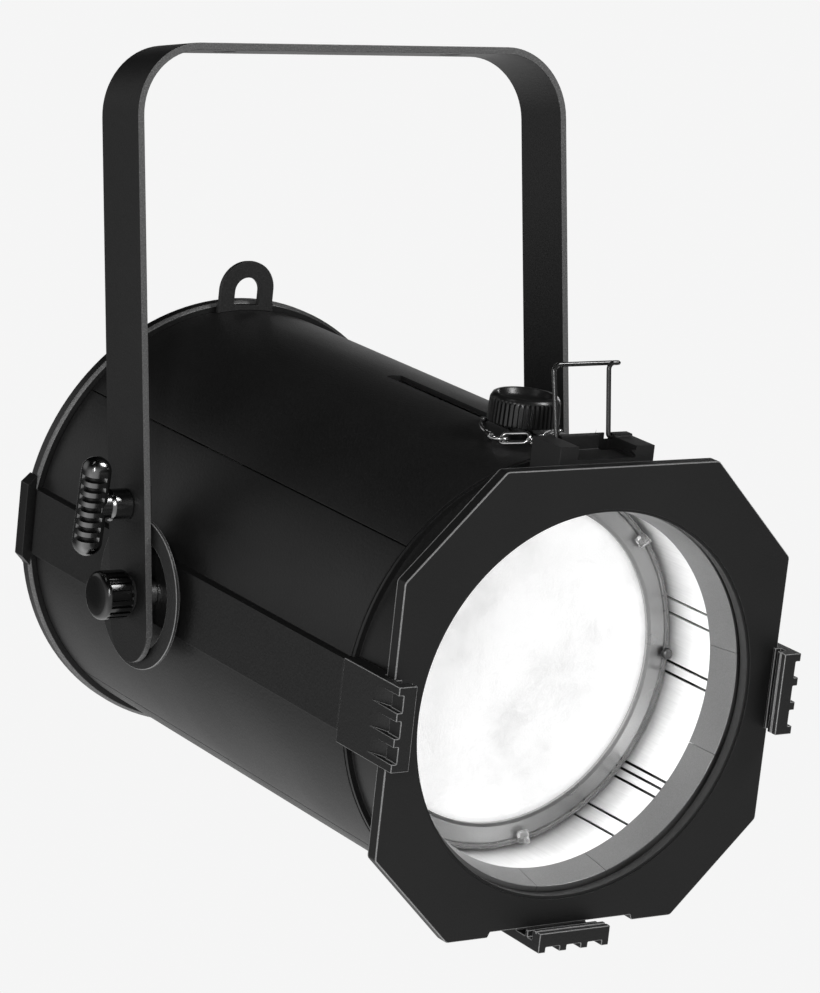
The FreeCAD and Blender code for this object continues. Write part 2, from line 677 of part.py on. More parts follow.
def tube_along(path, radius):
    """A round wire swept along a path."""
    first = path.Edges[0]
    start = first.valueAt(first.FirstParameter)
    along = first.tangentAt(first.FirstParameter)
    section = Part.Wire([Part.Circle(start, along, radius).toShape()])
    solid = path.makePipeShell([section], True, False)
    expected = 3.14159265 * radius ** 2 * path.Length
    if abs(solid.Volume - expected) > 0.02 * expected:
        raise RuntimeError("a wire came out with the wrong volume")
    return solid


# ---- optics -------------------------------------------------------------------------------------

def make_optics():
    liner = ring("liner_tube", "Y", "liner_outer", "liner_outer - liner_wall", "liner_front", "liner_rear")
    knob_slot = block("liner_knob_slot", ("-slot_half", "slot_half"), ("slot_front", "slot_rear"),
                      ("90", "120"))
    ear_slots = []
    for number, angle in enumerate(rod_places()):
        ear = block("ear_slot_%d" % number, ("90", "120"), ("slot_front - 12", "slot_rear + 8"),
                    ("-3.4", "3.4"))
        ear_slots.append(turned_copy("ear_slot_turned_%d" % number, ear, angle))
    head_place(cut("liner_shape", liner, knob_slot, *ear_slots), "mirror_liner")
    rods = [turned_copy("guide_rod_%d" % i, rod("rod_%d" % i, "Y", "rod_radius", "barrel_front + 0.7",
                                               "bulkhead - 0.2", ("rod_circle", "0")), angle)
            for i, angle in enumerate(rod_places())]
    head_place(group("guide_rods_shape", *rods), "guide_rods")
    # lens carriage: a ring with an ear on each rod and a threaded pad under the focus slot
    carriage = turned("carriage_turned", [
        ("lens_opening", "lens_face - 2.6"), ("carriage_outer", "lens_face - 2.6"),
        ("carriage_outer", "lens_face + 12"),
        ("lens_radius - 3", "lens_face + 12"), ("lens_radius - 3", "lens_face + 9.4"),
        ("lens_radius + 0.4", "lens_face + 9.4"), ("lens_radius + 0.4", "lens_face - 0.4"),
        ("lens_opening", "lens_face - 0.4")])
    ears = []
    bores = []
    for number, angle in enumerate(rod_places()):
        arm = block("ear_%d" % number, ("carriage_outer - 3", "rod_circle"),
                    ("lens_face + 2", "lens_face + 12"), ("-2.4", "2.4"))
        bush = rod("bush_%d" % number, "Y", "5.2", "lens_face + 2", "lens_face + 12", ("rod_circle", "0"))
        bore = rod("bush_bore_%d" % number, "Y", "rod_radius + 0.06", "lens_face - 5", "lens_face + 20",
                   ("rod_circle", "0"))
        ears += [turned_copy("ear_turned_%d" % number, join("ear_solid_%d" % number, arm, bush), angle)]
        bores += [turned_copy("bore_turned_%d" % number, bore, angle)]
    pad = block("carriage_pad", ("-7", "7"), ("knob_spot - 6", "knob_spot + 6"), ("94", "104"))
    thread = rod("carriage_thread", "Z", "stud_radius + 0.05", "90", "120", ("0", "knob_spot"))
    hub = block("carriage_pad_bridge", ("-7", "7"), ("lens_face", "knob_spot + 6"), ("94", "99.5"))
    head_place(cut("carriage_shape", join("carriage_solid", carriage, pad, hub, *ears), thread, *bores),
               "lens_carriage")
    # the lens: a stepped front face and a flat back
    steps = []
    for number in range(6):
        outer_edge = "lens_radius - 0.1 - %d * 13" % number
        inner_edge = "lens_radius - 0.1 - %d * 13" % (number + 1)
        steps += [(outer_edge, "lens_face + 3.6"), (inner_edge, "lens_face + 0.8")]
    profile = [("0", "lens_face + 9.2")] + [("lens_radius - 0.1", "lens_face + 9.2")] + steps
    head_place(turned("lens_turned", profile + [("0", "lens_face + 0.6")]), "lens")


def make_focus_knob():
    spot = ("0", "knob_spot")
    body = rod("focus_body", "Z", "knob_radius", "knob_bottom", "knob_top", spot)
    dish = rod("focus_dish", "Z", "knob_radius - 3", "knob_top - 1.2", "knob_top + 5", spot)
    skirt = rod("focus_skirt", "Z", "6", "barrel_outer + 0.5", "knob_bottom", spot)
    stud = rod("focus_stud_bar", "Z", "stud_radius", "95", "knob_top - 4", spot)
    grooves = []
    for number in range(32):
        angle = math.radians(number * 360.0 / 32)
        place = ("(knob_radius + 0.2) * %.6f" % math.cos(angle),
                 "knob_spot + (knob_radius + 0.2) * %.6f" % math.sin(angle))
        groove = rod("focus_groove_%d" % number, "Z", "0.8", "knob_bottom + 1.2", "knob_top - 1.5", place)
        grooves.append(groove)
    bore = rod("focus_bore", "Z", "stud_radius", "barrel_outer", "knob_top - 4", spot)
    head_place(cut("focus_knob_shape", join("focus_knob_solid", body, skirt), dish, bore, *grooves),
               "focus_knob")
    head_place(group("focus_stud_shape", stud), "focus_stud")


# ---- light engine and electronics ---------------------------------------------------------------

def make_engine():
    plate = rod("bulkhead_disc", "Y", "121.2", "bulkhead", "bulkhead + 3")
    opening = rod("bulkhead_opening", "Y", "32", "bulkhead - 5", "bulkhead + 9")
    rod_holes = [turned_copy("bulkhead_rod_%d" % i, rod("bulkhead_rod_hole_%d" % i, "Y", "rod_radius + 0.05",
                                                       "bulkhead - 5", "bulkhead + 9", ("rod_circle", "0")),
                             angle) for i, angle in enumerate(rod_places())]
    head_place(cut("bulkhead_shape", plate, opening, *rod_holes), "bulkhead_plate")
    base = rod("sink_base", "Y", "60", "sink_front", "sink_front + 6")
    nose = rod("sink_nose", "Y", "29.5", "bulkhead - 3.9", "sink_front")
    fins = []
    for number in range(13):
        across = (number - 6) * 8.0
        half_tall = math.sqrt(58.0 ** 2 - across ** 2)
        fins.append(block("sink_fin_%d" % number, (str(across - 1.1), str(across + 1.1)),
                          ("sink_front + 5", "sink_front + sink_deep"),
                          ("%.2f" % -half_tall, "%.2f" % half_tall)))
    head_place(join("heat_sink_shape", base, nose, *fins), "heat_sink")
    board = rod("emitter_board", "Y", "29", "bulkhead - 5.9", "bulkhead - 4")
    head_place(board, "led_board")
    head_place(rod("emitter_dome", "Y", "14", "bulkhead - 8", "bulkhead - 6"), "led_emitter")
    head_place(turned("emitter_cup_turned", [
        ("15", "bulkhead - 6.1"), ("28", "bulkhead - 6.1"), ("46", "bulkhead - 26"), ("44", "bulkhead - 26")]),
        "reflector_cup")
    fan_box = block("fan_box", ("-40", "40"), ("fan_rear - 25", "fan_rear"), ("-40", "40"))
    fan_bore = rod("fan_bore", "Y", "37.5", "fan_rear - 30", "fan_rear + 5")
    hub_seat = rod("fan_hub_seat", "Y", "15", "fan_rear - 3", "fan_rear")
    struts = [turned_copy("fan_strut_turned_%d" % i,
                          block("fan_strut_%d" % i, ("12", "39"), ("fan_rear - 3", "fan_rear"), ("-2", "2")),
                          45 + 90 * i) for i in range(4)]
    pin = rod("fan_pin", "Y", "1.5", "fan_rear - 20", "fan_rear - 3")
    head_place(join("fan_housing_shape", cut("fan_box_bored", fan_box, fan_bore), hub_seat, pin, *struts),
               "fan_housing")
    hub = ring("fan_hub", "Y", "16", "1.56", "fan_rear - 22", "fan_rear - 3.6")
    blades = []
    for number in range(7):
        blade = block("fan_blade_%d" % number, ("15", "36"), ("-8", "8"), ("-0.8", "0.8"))
        pitched = fresh("Part::Compound", "fan_blade_pitched_%d" % number)
        pitched.Links = [blade]
        pitched.Placement = Placement(Vector(), Rotation(Vector(1, 0, 0), 35))
        pitched.setExpression("Placement.Base.y", formula("fan_rear - 13"))
        blades.append(turned_copy("fan_blade_turned_%d" % number, pitched, number * 360.0 / 7))
    head_place(join("fan_rotor_shape", hub, *blades), "fan_rotor")
    head_place(block("supply_case", ("-70", "70"), ("30", "126"), ("-94", "-66")), "power_supply")
    circuit = block("driver_plate", ("-60", "60"), ("30", "126"), ("64", "65.6"))
    parts = [block("driver_part_%d" % i, x, y, ("65.6", z)) for i, (x, y, z) in enumerate((
        (("-52", "-30"), ("38", "62"), "82"), (("-20", "4"), ("40", "70"), "78"),
        (("14", "30"), ("38", "54"), "84"), (("36", "54"), ("70", "110"), "76"),
        (("-50", "-10"), ("84", "112"), "74")))]
    head_place(join("driver_board_shape", circuit, *parts), "driver_board")


CONNECTORS = {"power_in": (-40.0, -44.0, 12.0), "power_out": (40.0, -44.0, 12.0),
              "data_in": (-33.0, -82.0, 10.4), "data_out": (33.0, -82.0, 10.4)}
BUTTONS = (-30.0, -10.0, 10.0, 30.0)
BUTTON_HEIGHT = 12.0


def make_panel():
    plate = rod("panel_plate", "Y", "125.3", "panel_front", "panel_rear")
    cutters = [block("window_opening", ("-30", "30"), ("135", "150"), ("30", "62"))]
    for x in BUTTONS:
        cutters.append(rod("button_hole_%d" % x, "Y", "5.1", "135", "150", (str(x), str(BUTTON_HEIGHT))))
    for name, (x, z, radius) in CONNECTORS.items():
        cutters.append(rod(name + "_hole", "Y", str(radius + 0.2), "135", "150", (str(x), str(z))))
    cutters.append(rod("fuse_hole", "Y", "6.2", "135", "150", ("0", "-44")))
    for side in (-1, 1):
        for row in range(7):
            middle = -24 + 10 * row
            span = sorted((side * 66.0, side * 100.0))
            cutters.append(block("vent_%d_%d" % (side + 1, row), (str(span[0]), str(span[1])), ("135", "150"),
                                 (str(middle - 2.2), str(middle + 2.2))))
    screws = []
    for number in range(6):
        angle = 30.0 + number * 60.0
        seat = rod("panel_screw_hole_%d" % number, "Y", "1.6", "135", "150", ("122", "0"))
        cutters.append(turned_copy("panel_screw_hole_turned_%d" % number, seat, angle))
        shank = rod("panel_screw_shank_%d" % number, "Y", "1.5", "cap_rear - 5", "panel_rear + 1", ("122", "0"))
        head = rod("panel_screw_head_%d" % number, "Y", "2.6", "panel_rear + 0.05", "panel_rear + 2",
                   ("122", "0"))
        screws.append(turned_copy("panel_screw_turned_%d" % number,
                                  join("panel_screw_%d" % number, shank, head), angle))
    head_place(cut("rear_panel_shape", plate, *cutters), "rear_panel")
    head_place(group("panel_screws_shape", *screws), "panel_screws")
    head_place(block("display_glass", ("-29.8", "29.8"), ("panel_front - 2", "panel_rear + 0.3"),
                     ("30.2", "61.8")), "display_window")
    for number, x in enumerate(BUTTONS, start=1):
        cap = rod("button_cap_%d" % number, "Y", "5.04", "panel_front - 3", "panel_rear + 2.6",
                  (str(x), str(BUTTON_HEIGHT)))
        head_place(cap, "menu_button_%d" % number)
    for name, (x, z, radius) in CONNECTORS.items():
        spot = (str(x), str(z))
        barrel = rod(name + "_barrel", "Y", str(radius), "panel_front - 16", "panel_rear + 3.4", spot)
        flange = block(name + "_flange", (str(x - 13), str(x + 13)), ("panel_rear + 0.05", "panel_rear + 2"),
                       (str(z - 15.5), str(z + 15.5)))
        socket = rod(name + "_socket", "Y", str(radius - 2.4), "panel_front - 11", "panel_rear + 9", spot)
        core = rod(name + "_core", "Y", str(radius - 6.0), "panel_front - 14", "panel_rear - 1", spot)
        head_place(join(name + "_shape", cut(name + "_hollow", join(name + "_solid", barrel, flange), socket),
                        core), name + "_connector")
    fuse = join("fuse_shape", rod("fuse_body", "Y", "6", "panel_front - 22", "panel_rear + 0.1", ("0", "-44")),
                rod("fuse_cap", "Y", "8", "panel_rear + 0.05", "panel_rear + 6", ("0", "-44")))
    head_place(fuse, "fuse_holder")


# ---- safety eye and lanyard ---------------------------------------------------------------------

def make_safety_eye():
    """An arched plate welded to the top cover's rear edge, open below like a wicket."""
    base = "eye_half + 1.6"
    corners = [("-(%s)" % base, "118"), (base, "118"), ("eye_half", "eye_top - 24"), ("eye_half", "eye_top"),
               ("-eye_half", "eye_top"), ("-eye_half", "eye_top - 24")]
    plate = padded("eye_plate", "XZ_Plane", corners, "eye_thick")
    soften(plate, "eye_half - 0.9", Vector(0, 1, 0), lambda p: p.z > 150, "crown")
    opening = join("eye_opening", rod("eye_arch", "Y", "eye_hole", "-5", "5", ("0", "eye_top - 17.8")),
                   block("eye_way", ("-eye_hole", "eye_hole"), ("-5", "5"), ("eye_root", "eye_top - 17.8")))
    moved = fresh("Part::Compound", "eye_moved")
    moved.Links = [cut("eye_wicket", plate, opening)]
    moved.setExpression("Placement.Base.y", formula("eye_spot"))
    under = rod("eye_underside", "Y", "barrel_outer + 0.05", "100", "150")
    head_place(cut("safety_eye_shape", moved, under), "safety_eye")


def racetrack(name, length, radius, wire):
    """A closed link of round wire lying in the XY plane, its long way along Y."""
    side = length / 2.0 - radius
    right = Vector(radius, 0, 0)
    up = Vector(0, side, 0)
    tip = Vector(0, side + radius, 0)
    path = Part.Wire([Part.LineSegment(right - up, right + up).toShape(),
                      Part.Arc(right + up, tip, up - right).toShape(),
                      Part.LineSegment(up - right, -right - up).toShape(),
                      Part.Arc(-right - up, -tip, right - up).toShape()])
    link = doc.addObject("Part::Feature", name)
    link.Shape = tube_along(path, wire)
    return link


def laid(name, source, place, heading, roll=0.0):
    """A copy of a link moved to place, its long way along heading, rolled from lying flat."""
    flat = Rotation(Vector(), heading, Vector(0, 0, 1), "YZX")
    copy = fresh("Part::Compound", name)
    copy.Links = [source]
    copy.Placement = Placement(place, flat * Rotation(Vector(0, 1, 0), roll))
    return copy


def on_cover(x, y, lift):
    """A point above the curved top cover, lifted clear of it along the barrel's radius."""
    return Vector(x, y, math.sqrt((SIZES["barrel_outer"] + lift) ** 2 - x * x))


CABLE_ROUTE = (on_cover(-11.2, -130.0, 1.3), on_cover(-13.2, -132.4, 1.4), on_cover(-16.2, -137.0, 1.4),
               on_cover(-19.2, -144.4, 1.5), on_cover(-22.4, -153.2, 2.2))
RING_SPOT = on_cover(-24.8, -166.5, 3.5)
CLASP_SPOT = on_cover(-20.6, -175.1, 4.8)
CLASP_TIP = on_cover(-16.4, -183.0, 6.2)
CHAIN_START = on_cover(-15.7, -183.1, 4.3)
CHAIN_END = Vector(-11.6, -201.1, 138.0)
SLEEVE_LENGTH = 7.4
CABLE_RADIUS = 0.9
RING_WAY = Vector(0.1, -1, 0.17)
CLASP_ROLL = 43.8
CHAIN_ROLL = 45.0
CHAIN_TWIST = 105.0
CHAIN_LINKS = 4


def make_lanyard():
    """A light steel cable beside the focus knob, clipped to the tray by a ring, a clasp and a chain."""
    radii = []
    for before, corner, after in zip(CABLE_ROUTE, CABLE_ROUTE[1:], CABLE_ROUTE[2:]):
        turn = (corner - before).getAngle(after - corner)
        shorter = min((corner - before).Length, (after - corner).Length)
        radii.append(0.45 * shorter / math.tan(turn / 2.0))
    cable = doc.addObject("Part::Feature", "cable_tube")
    cable.Shape = tube_along(rounded_path(list(CABLE_ROUTE), radii), CABLE_RADIUS)
    head_place(group("cable_group", cable), "lanyard_cable")
    sleeve_way = CABLE_ROUTE[-1] - CABLE_ROUTE[-2]
    sleeve = doc.addObject("Part::Feature", "sleeve_tube")
    sleeve.Shape = Part.makeCylinder(1.9, SLEEVE_LENGTH, CABLE_ROUTE[-1], sleeve_way)
    head_place(group("sleeve_group", sleeve), "lanyard_sleeve")
    loop = racetrack("ring_wire", 10.6, 4.2, 0.8)
    head_place(laid("ring_laid", loop, RING_SPOT, RING_WAY, -4.3), "lanyard_ring")
    clasp = racetrack("clasp_wire", 17.0, 3.2, 1.0)
    head_place(laid("clasp_laid", clasp, CLASP_SPOT, CLASP_TIP - CLASP_SPOT, CLASP_ROLL), "lanyard_clasp")
    link = racetrack("chain_wire", 6.6, 1.9, 0.6)
    way = CHAIN_END - CHAIN_START
    links = [laid("chain_link_%d" % i, link, CHAIN_START + way * ((i + 0.5) / CHAIN_LINKS), way,
                  CHAIN_ROLL + CHAIN_TWIST * i) for i in range(CHAIN_LINKS)]
    head_place(group("chain_group", *links), "lanyard_chain")


# ---- write-out ----------------------------------------------------------------------------------

make_yoke()
make_pivots()
make_brake()
make_housing()
make_rear()
make_front()
make_colour_frame()
make_holders()
make_tray()
make_latch()
make_optics()
make_focus_knob()
make_engine()
make_panel()
make_safety_eye()
make_lanyard()

doc.recompute()
for item in doc.Objects:
    if "Invalid" in item.State or "Error" in item.State:
        raise RuntimeError(item.Name + " failed: " + str(item.State))
for item in pieces:
    if item.Shape.isNull() or not item.Shape.isValid():
        raise RuntimeError(item.Label + " has no valid shape")
os.makedirs("parts", exist_ok=True)
for item in pieces:
    item.Shape.exportStep("parts/%s.step" % item.Label)
    print("%-24s %10.1f mm3  %d solids" % (item.Label, item.Shape.Volume, len(item.Shape.Solids)))
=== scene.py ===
import json
import math

import bmesh
import bpy
from mathutils import Matrix, Vector


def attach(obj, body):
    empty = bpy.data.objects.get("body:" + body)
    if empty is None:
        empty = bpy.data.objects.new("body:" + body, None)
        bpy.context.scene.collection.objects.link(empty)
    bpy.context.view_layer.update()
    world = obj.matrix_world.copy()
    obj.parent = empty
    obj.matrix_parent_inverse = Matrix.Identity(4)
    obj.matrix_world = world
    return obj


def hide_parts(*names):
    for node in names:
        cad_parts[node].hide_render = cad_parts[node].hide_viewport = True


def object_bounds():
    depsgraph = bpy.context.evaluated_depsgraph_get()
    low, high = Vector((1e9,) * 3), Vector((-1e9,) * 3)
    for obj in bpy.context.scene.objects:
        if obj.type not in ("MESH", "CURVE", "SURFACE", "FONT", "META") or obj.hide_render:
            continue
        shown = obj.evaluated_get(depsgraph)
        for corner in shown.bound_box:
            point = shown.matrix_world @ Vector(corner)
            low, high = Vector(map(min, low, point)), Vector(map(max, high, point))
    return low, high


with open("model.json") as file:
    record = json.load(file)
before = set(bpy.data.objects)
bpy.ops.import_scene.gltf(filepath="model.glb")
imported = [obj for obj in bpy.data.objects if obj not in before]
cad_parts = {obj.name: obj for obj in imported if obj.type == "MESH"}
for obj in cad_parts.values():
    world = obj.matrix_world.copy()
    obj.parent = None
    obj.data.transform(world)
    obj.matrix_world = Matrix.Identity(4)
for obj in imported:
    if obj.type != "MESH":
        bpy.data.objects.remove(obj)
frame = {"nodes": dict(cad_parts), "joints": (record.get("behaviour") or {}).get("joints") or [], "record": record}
CAD_BOX = [list(corner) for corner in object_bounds()]
NODES = frame["nodes"]
JOINTS = {joint["name"]: joint for joint in frame["joints"]}
SLOT_OF = {row["node"]: row["material_slot"] for row in frame["record"]["subparts"]}
BODY_OF = {node: body for body, nodes in frame["record"]["behaviour"]["bodies"].items()
           for node in nodes}
MM = 0.001

# The head's own axes: +X right, +Y towards the rear panel, +Z up, origin on the tilt pivot.
PIVOT = Vector(JOINTS["head_tilt"]["pos_m"])
BACKWARD = Vector(JOINTS["focus_slide"]["axis"]).normalized()
UPWARD = Vector(JOINTS["frame_lift"]["axis"]).normalized()
HEAD_AXES = Matrix((BACKWARD.cross(UPWARD), BACKWARD, UPWARD)).transposed().to_4x4()
HEAD = Matrix.Translation(PIVOT) @ HEAD_AXES
YOKE = Matrix.Translation(PIVOT)


# ---- camera -------------------------------------------------------------------------------------

# Angles in degrees, distances from the tilt pivot in millimetres, and how far it sees in metres.
CAMERA_TURN = 33.404
CAMERA_DIP = 3.866
CAMERA_ROLL = -0.669
CAMERA_AWAY = 2356.57
CAMERA_ASIDE = -36.18
CAMERA_ABOVE = -46.42
LENS_LENGTH = 150.79
SENSOR_WIDTH = 36.0
FARTHEST_SEEN = 100.0


def make_camera():
    turn, dip, roll = (math.radians(a) for a in (CAMERA_TURN, CAMERA_DIP, CAMERA_ROLL))
    ahead = Vector((math.sin(turn) * math.cos(dip), math.cos(turn) * math.cos(dip), -math.sin(dip)))
    level = Vector((math.cos(turn), -math.sin(turn), 0.0))
    upright = level.cross(ahead)
    right = level * math.cos(roll) + upright * math.sin(roll)
    up = upright * math.cos(roll) - level * math.sin(roll)
    spot = PIVOT - (ahead * CAMERA_AWAY + right * CAMERA_ASIDE + up * CAMERA_ABOVE) * MM
    facing_axes = Matrix((right, up, -ahead)).transposed().to_4x4()
    camera = bpy.data.objects.new("camera", bpy.data.cameras.new("camera"))
    camera.data.lens = LENS_LENGTH
    camera.data.sensor_width = SENSOR_WIDTH
    camera.data.clip_end = FARTHEST_SEEN
    camera.matrix_world = Matrix.Translation(spot) @ facing_axes
    bpy.context.scene.collection.objects.link(camera)
    bpy.context.scene.camera = camera


make_camera()


# ---- materials ----------------------------------------------------------------------------------

def node_of(tree, kind, **settings):
    node = tree.nodes.new(kind)
    for key, value in settings.items():
        setattr(node, key, value)
    return node


def new_material(name):
    material = bpy.data.materials.new(name)
    material.use_nodes = True
    tree = material.node_tree
    shader = tree.nodes["Principled BSDF"]
    place = node_of(tree, "ShaderNodeTexCoord").outputs["Object"]
    return material, tree, shader, place


def noise(tree, place, scale, detail=2.0, roughness=0.5, stretch=None):
    """A noise value; scale is in bumps per metre."""
    texture = node_of(tree, "ShaderNodeTexNoise")
    texture.inputs["Scale"].default_value = scale
    texture.inputs["Detail"].default_value = detail
    texture.inputs["Roughness"].default_value = roughness
    if stretch:
        mapping = node_of(tree, "ShaderNodeMapping")
        mapping.inputs["Scale"].default_value = stretch
        tree.links.new(place, mapping.inputs["Vector"])
        place = mapping.outputs["Vector"]
    tree.links.new(place, texture.inputs["Vector"])
    return texture.outputs["Fac"]


def span(tree, value, low, high, start=0.3, end=0.7):
    """Carry a value between start and end over to low and high."""
    node = node_of(tree, "ShaderNodeMapRange")
    tree.links.new(value, node.inputs["Value"])
    node.inputs["From Min"].default_value = start
    node.inputs["From Max"].default_value = end
    node.inputs["To Min"].default_value = low
    node.inputs["To Max"].default_value = high
    return node.outputs["Result"]


def shades(tree, value, *stops):
    """A colour that goes through stops, each a position and a colour, as value grows."""
    ramp = node_of(tree, "ShaderNodeValToRGB")
    while len(ramp.color_ramp.elements) < len(stops):
        ramp.color_ramp.elements.new(0.5)
    for element, (spot, colour) in zip(ramp.color_ramp.elements, stops):
        element.position = spot
        element.color = (*colour, 1.0)
    tree.links.new(value, ramp.inputs["Fac"])
    return ramp.outputs["Color"]


def bump(tree, shader, height, deep):
    """Raise the surface by height times deep metres; several calls add up."""
    node = node_of(tree, "ShaderNodeBump")
    node.inputs["Distance"].default_value = deep
    node.inputs["Strength"].default_value = 1.0
    tree.links.new(height, node.inputs["Height"])
    if shader.inputs["Normal"].is_linked:
        tree.links.new(shader.inputs["Normal"].links[0].from_socket, node.inputs["Normal"])
    tree.links.new(node.outputs["Normal"], shader.inputs["Normal"])


def grey(level):
    return (level, level, level)


def painted(name, level, gloss, grain, coarse, coat=0.0):
    """Powder coat or moulded plastic: near black, with a fine grain and soft, uneven gloss."""
    material, tree, shader, place = new_material(name)
    drift = noise(tree, place, 14.0, 4.0)
    fine = noise(tree, place, coarse, 2.0, 0.6)
    speck = noise(tree, place, coarse * 0.45, 1.0, 0.4)
    tone = shades(tree, fine, (0.30, grey(level * 0.6)), (0.55, grey(level)),
                  (0.78, grey(level * 1.9)))
    tree.links.new(tone, shader.inputs["Base Color"])
    rough = node_of(tree, "ShaderNodeMath", operation="MULTIPLY_ADD")
    tree.links.new(span(tree, drift, -0.035, 0.045), rough.inputs[0])
    rough.inputs[1].default_value = 1.0
    tree.links.new(span(tree, fine, gloss - 0.05, gloss + 0.07), rough.inputs[2])
    tree.links.new(rough.outputs[0], shader.inputs["Roughness"])
    bump(tree, shader, fine, grain)
    bump(tree, shader, speck, grain * 1.5)
    shader.inputs["Coat Weight"].default_value = coat
    shader.inputs["Coat Roughness"].default_value = 0.12
    return material


def metal(name, level, gloss, spread, marks_scale, stretch, deep):
    """Bare metal with fine marks drawn out along one direction."""
    material, tree, shader, place = new_material(name)
    marks = noise(tree, place, marks_scale, 3.0, 0.6, stretch)
    cloud = noise(tree, place, 30.0, 3.0)
    tone = shades(tree, marks, (0.3, grey(level * 0.82)), (0.7, grey(level)))
    tree.links.new(tone, shader.inputs["Base Color"])
    tree.links.new(span(tree, cloud, gloss - spread, gloss + spread), shader.inputs["Roughness"])
    bump(tree, shader, marks, deep)
    shader.inputs["Metallic"].default_value = 1.0
    return material


def rings_metal(name, level, gloss, per_metre):
    """Turned metal: fine rings about the head's long axis, a little uneven."""
    material, tree, shader, place = new_material(name)
    wave = node_of(tree, "ShaderNodeTexWave", wave_type="RINGS", rings_direction="Y")
    wave.inputs["Scale"].default_value = per_metre
    wave.inputs["Distortion"].default_value = 2.5
    wave.inputs["Detail"].default_value = 3.0
    wave.inputs["Detail Scale"].default_value = 4.0
    tree.links.new(place, wave.inputs["Vector"])
    cloud = noise(tree, place, 45.0, 1.0)
    tone = shades(tree, wave.outputs["Fac"], (0.1, grey(level * 0.45)), (0.9, grey(level)))
    tree.links.new(tone, shader.inputs["Base Color"])
    tree.links.new(span(tree, cloud, gloss - 0.03, gloss + 0.03), shader.inputs["Roughness"])
    bump(tree, shader, wave.outputs["Fac"], 0.00002)
    shader.inputs["Metallic"].default_value = 1.0
    return material


def lit_glass(name):
    """Frosted glass with the lamp on behind it: white, with a faint cloudy mottle."""
    material, tree, shader, place = new_material(name)
    cloud = noise(tree, place, 20.0, 9.0, 0.74)
    dust = noise(tree, place, 900.0, 2.0, 0.6)
    glow = shades(tree, cloud, (0.34, grey(0.66)), (0.48, grey(0.90)), (0.60, grey(1.0)))
    tree.links.new(glow, shader.inputs["Emission Color"])
    shader.inputs["Emission Strength"].default_value = 0.60
    tone = shades(tree, dust, (0.3, grey(0.5)), (0.7, grey(0.62)))
    tree.links.new(tone, shader.inputs["Base Color"])
    tree.links.new(span(tree, cloud, 0.28, 0.42), shader.inputs["Roughness"])
    bump(tree, shader, dust, 0.00008)
    return material


def reflector(name):
    """Bright reflector sheet: half mirror, half white scatter, with long rolling marks."""
    material, tree, shader, place = new_material(name)
    marks = noise(tree, place, 900.0, 3.0, 0.6, (1.0, 0.05, 1.0))
    cloud = noise(tree, place, 30.0, 3.0)
    tone = shades(tree, marks, (0.3, grey(0.88)), (0.7, grey(0.97)))
    tree.links.new(tone, shader.inputs["Base Color"])
    tree.links.new(span(tree, cloud, 0.28, 0.42), shader.inputs["Roughness"])
    bump(tree, shader, marks, 0.00001)
    shader.inputs["Metallic"].default_value = 0.5
    return material


def clear_plastic(name):
    """Clear plastic with a slightly uneven polish."""
    material, tree, shader, place = new_material(name)
    cloud = noise(tree, place, 120.0, 3.0)
    tone = shades(tree, cloud, (0.3, grey(0.86)), (0.7, grey(0.97)))
    tree.links.new(tone, shader.inputs["Base Color"])
    tree.links.new(span(tree, cloud, 0.04, 0.16), shader.inputs["Roughness"])
    shader.inputs["Transmission Weight"].default_value = 0.85
    shader.inputs["IOR"].default_value = 1.49
    return material


def board_green(name):
    """A circuit board: green, with lighter tracks between darker fields."""
    material, tree, shader, place = new_material(name)
    tracks = node_of(tree, "ShaderNodeTexBrick")
    tracks.inputs["Scale"].default_value = 160.0
    tracks.inputs["Color1"].default_value = (0.02, 0.16, 0.06, 1.0)
    tracks.inputs["Color2"].default_value = (0.03, 0.22, 0.09, 1.0)
    tracks.inputs["Mortar"].default_value = (0.05, 0.30, 0.14, 1.0)
    tree.links.new(place, tracks.inputs["Vector"])
    tree.links.new(tracks.outputs["Color"], shader.inputs["Base Color"])
    tree.links.new(span(tree, noise(tree, place, 300.0), 0.25, 0.45), shader.inputs["Roughness"])
    return material


def phosphor(name):
    """The emitter's yellow coating."""
    material, tree, shader, place = new_material(name)
    cloud = noise(tree, place, 700.0, 3.0)
    tone = shades(tree, cloud, (0.3, (0.75, 0.6, 0.15)), (0.7, (0.9, 0.8, 0.35)))
    tree.links.new(tone, shader.inputs["Base Color"])
    tree.links.new(span(tree, cloud, 0.5, 0.7), shader.inputs["Roughness"])
    return material


# Paint and plastic: grey level, roughness, height of the grain in metres, bumps per metre, coat.
PAINTS = {
    "satin_black_paint": (0.022, 0.46, 0.00008, 1900.0),
    "dull_black_paint": (0.009, 0.48, 0.00008, 1900.0),
    "ring_black_paint": (0.010, 0.36, 0.00002, 1700.0),
    "cover_black_paint": (0.010, 0.42, 0.00006, 1300.0),
    "frame_black_paint": (0.007, 0.46, 0.00003, 1700.0),
    "black_plastic": (0.026, 0.42, 0.00004, 2300.0),
    "gloss_black_plastic": (0.003, 0.14, 0.00001, 1600.0, 0.3),
    # near black for the grip's grooves: painted shade where the grooves fall in shadow
    "groove_shade_paint": (0.003, 0.55, 0.00001, 3000.0),
    "ribbed_black": (0.010, 0.30, 0.00001, 5000.0),
    "black_wire": (0.012, 0.16, 0.00001, 3000.0, 0.5),
    # light grey paint for rounded edges: a painted highlight standing in for the light the edges catch
    "edge_highlight_paint": (0.24, 0.34, 0.00004, 2600.0),
    # lighter paint for faces turned to the lamps: a painted highlight on the yoke's edges and the rear cap's lip
    "lit_face_paint": (0.10, 0.40, 0.00010, 1200.0),
    "display_dark": (0.006, 0.10, 0.00001, 900.0, 0.6),
    "fibre": (0.05, 0.8, 0.00005, 900.0),
}
EVEN, DRAWN = (1.0, 1.0, 1.0), (1.0, 0.1, 1.0)
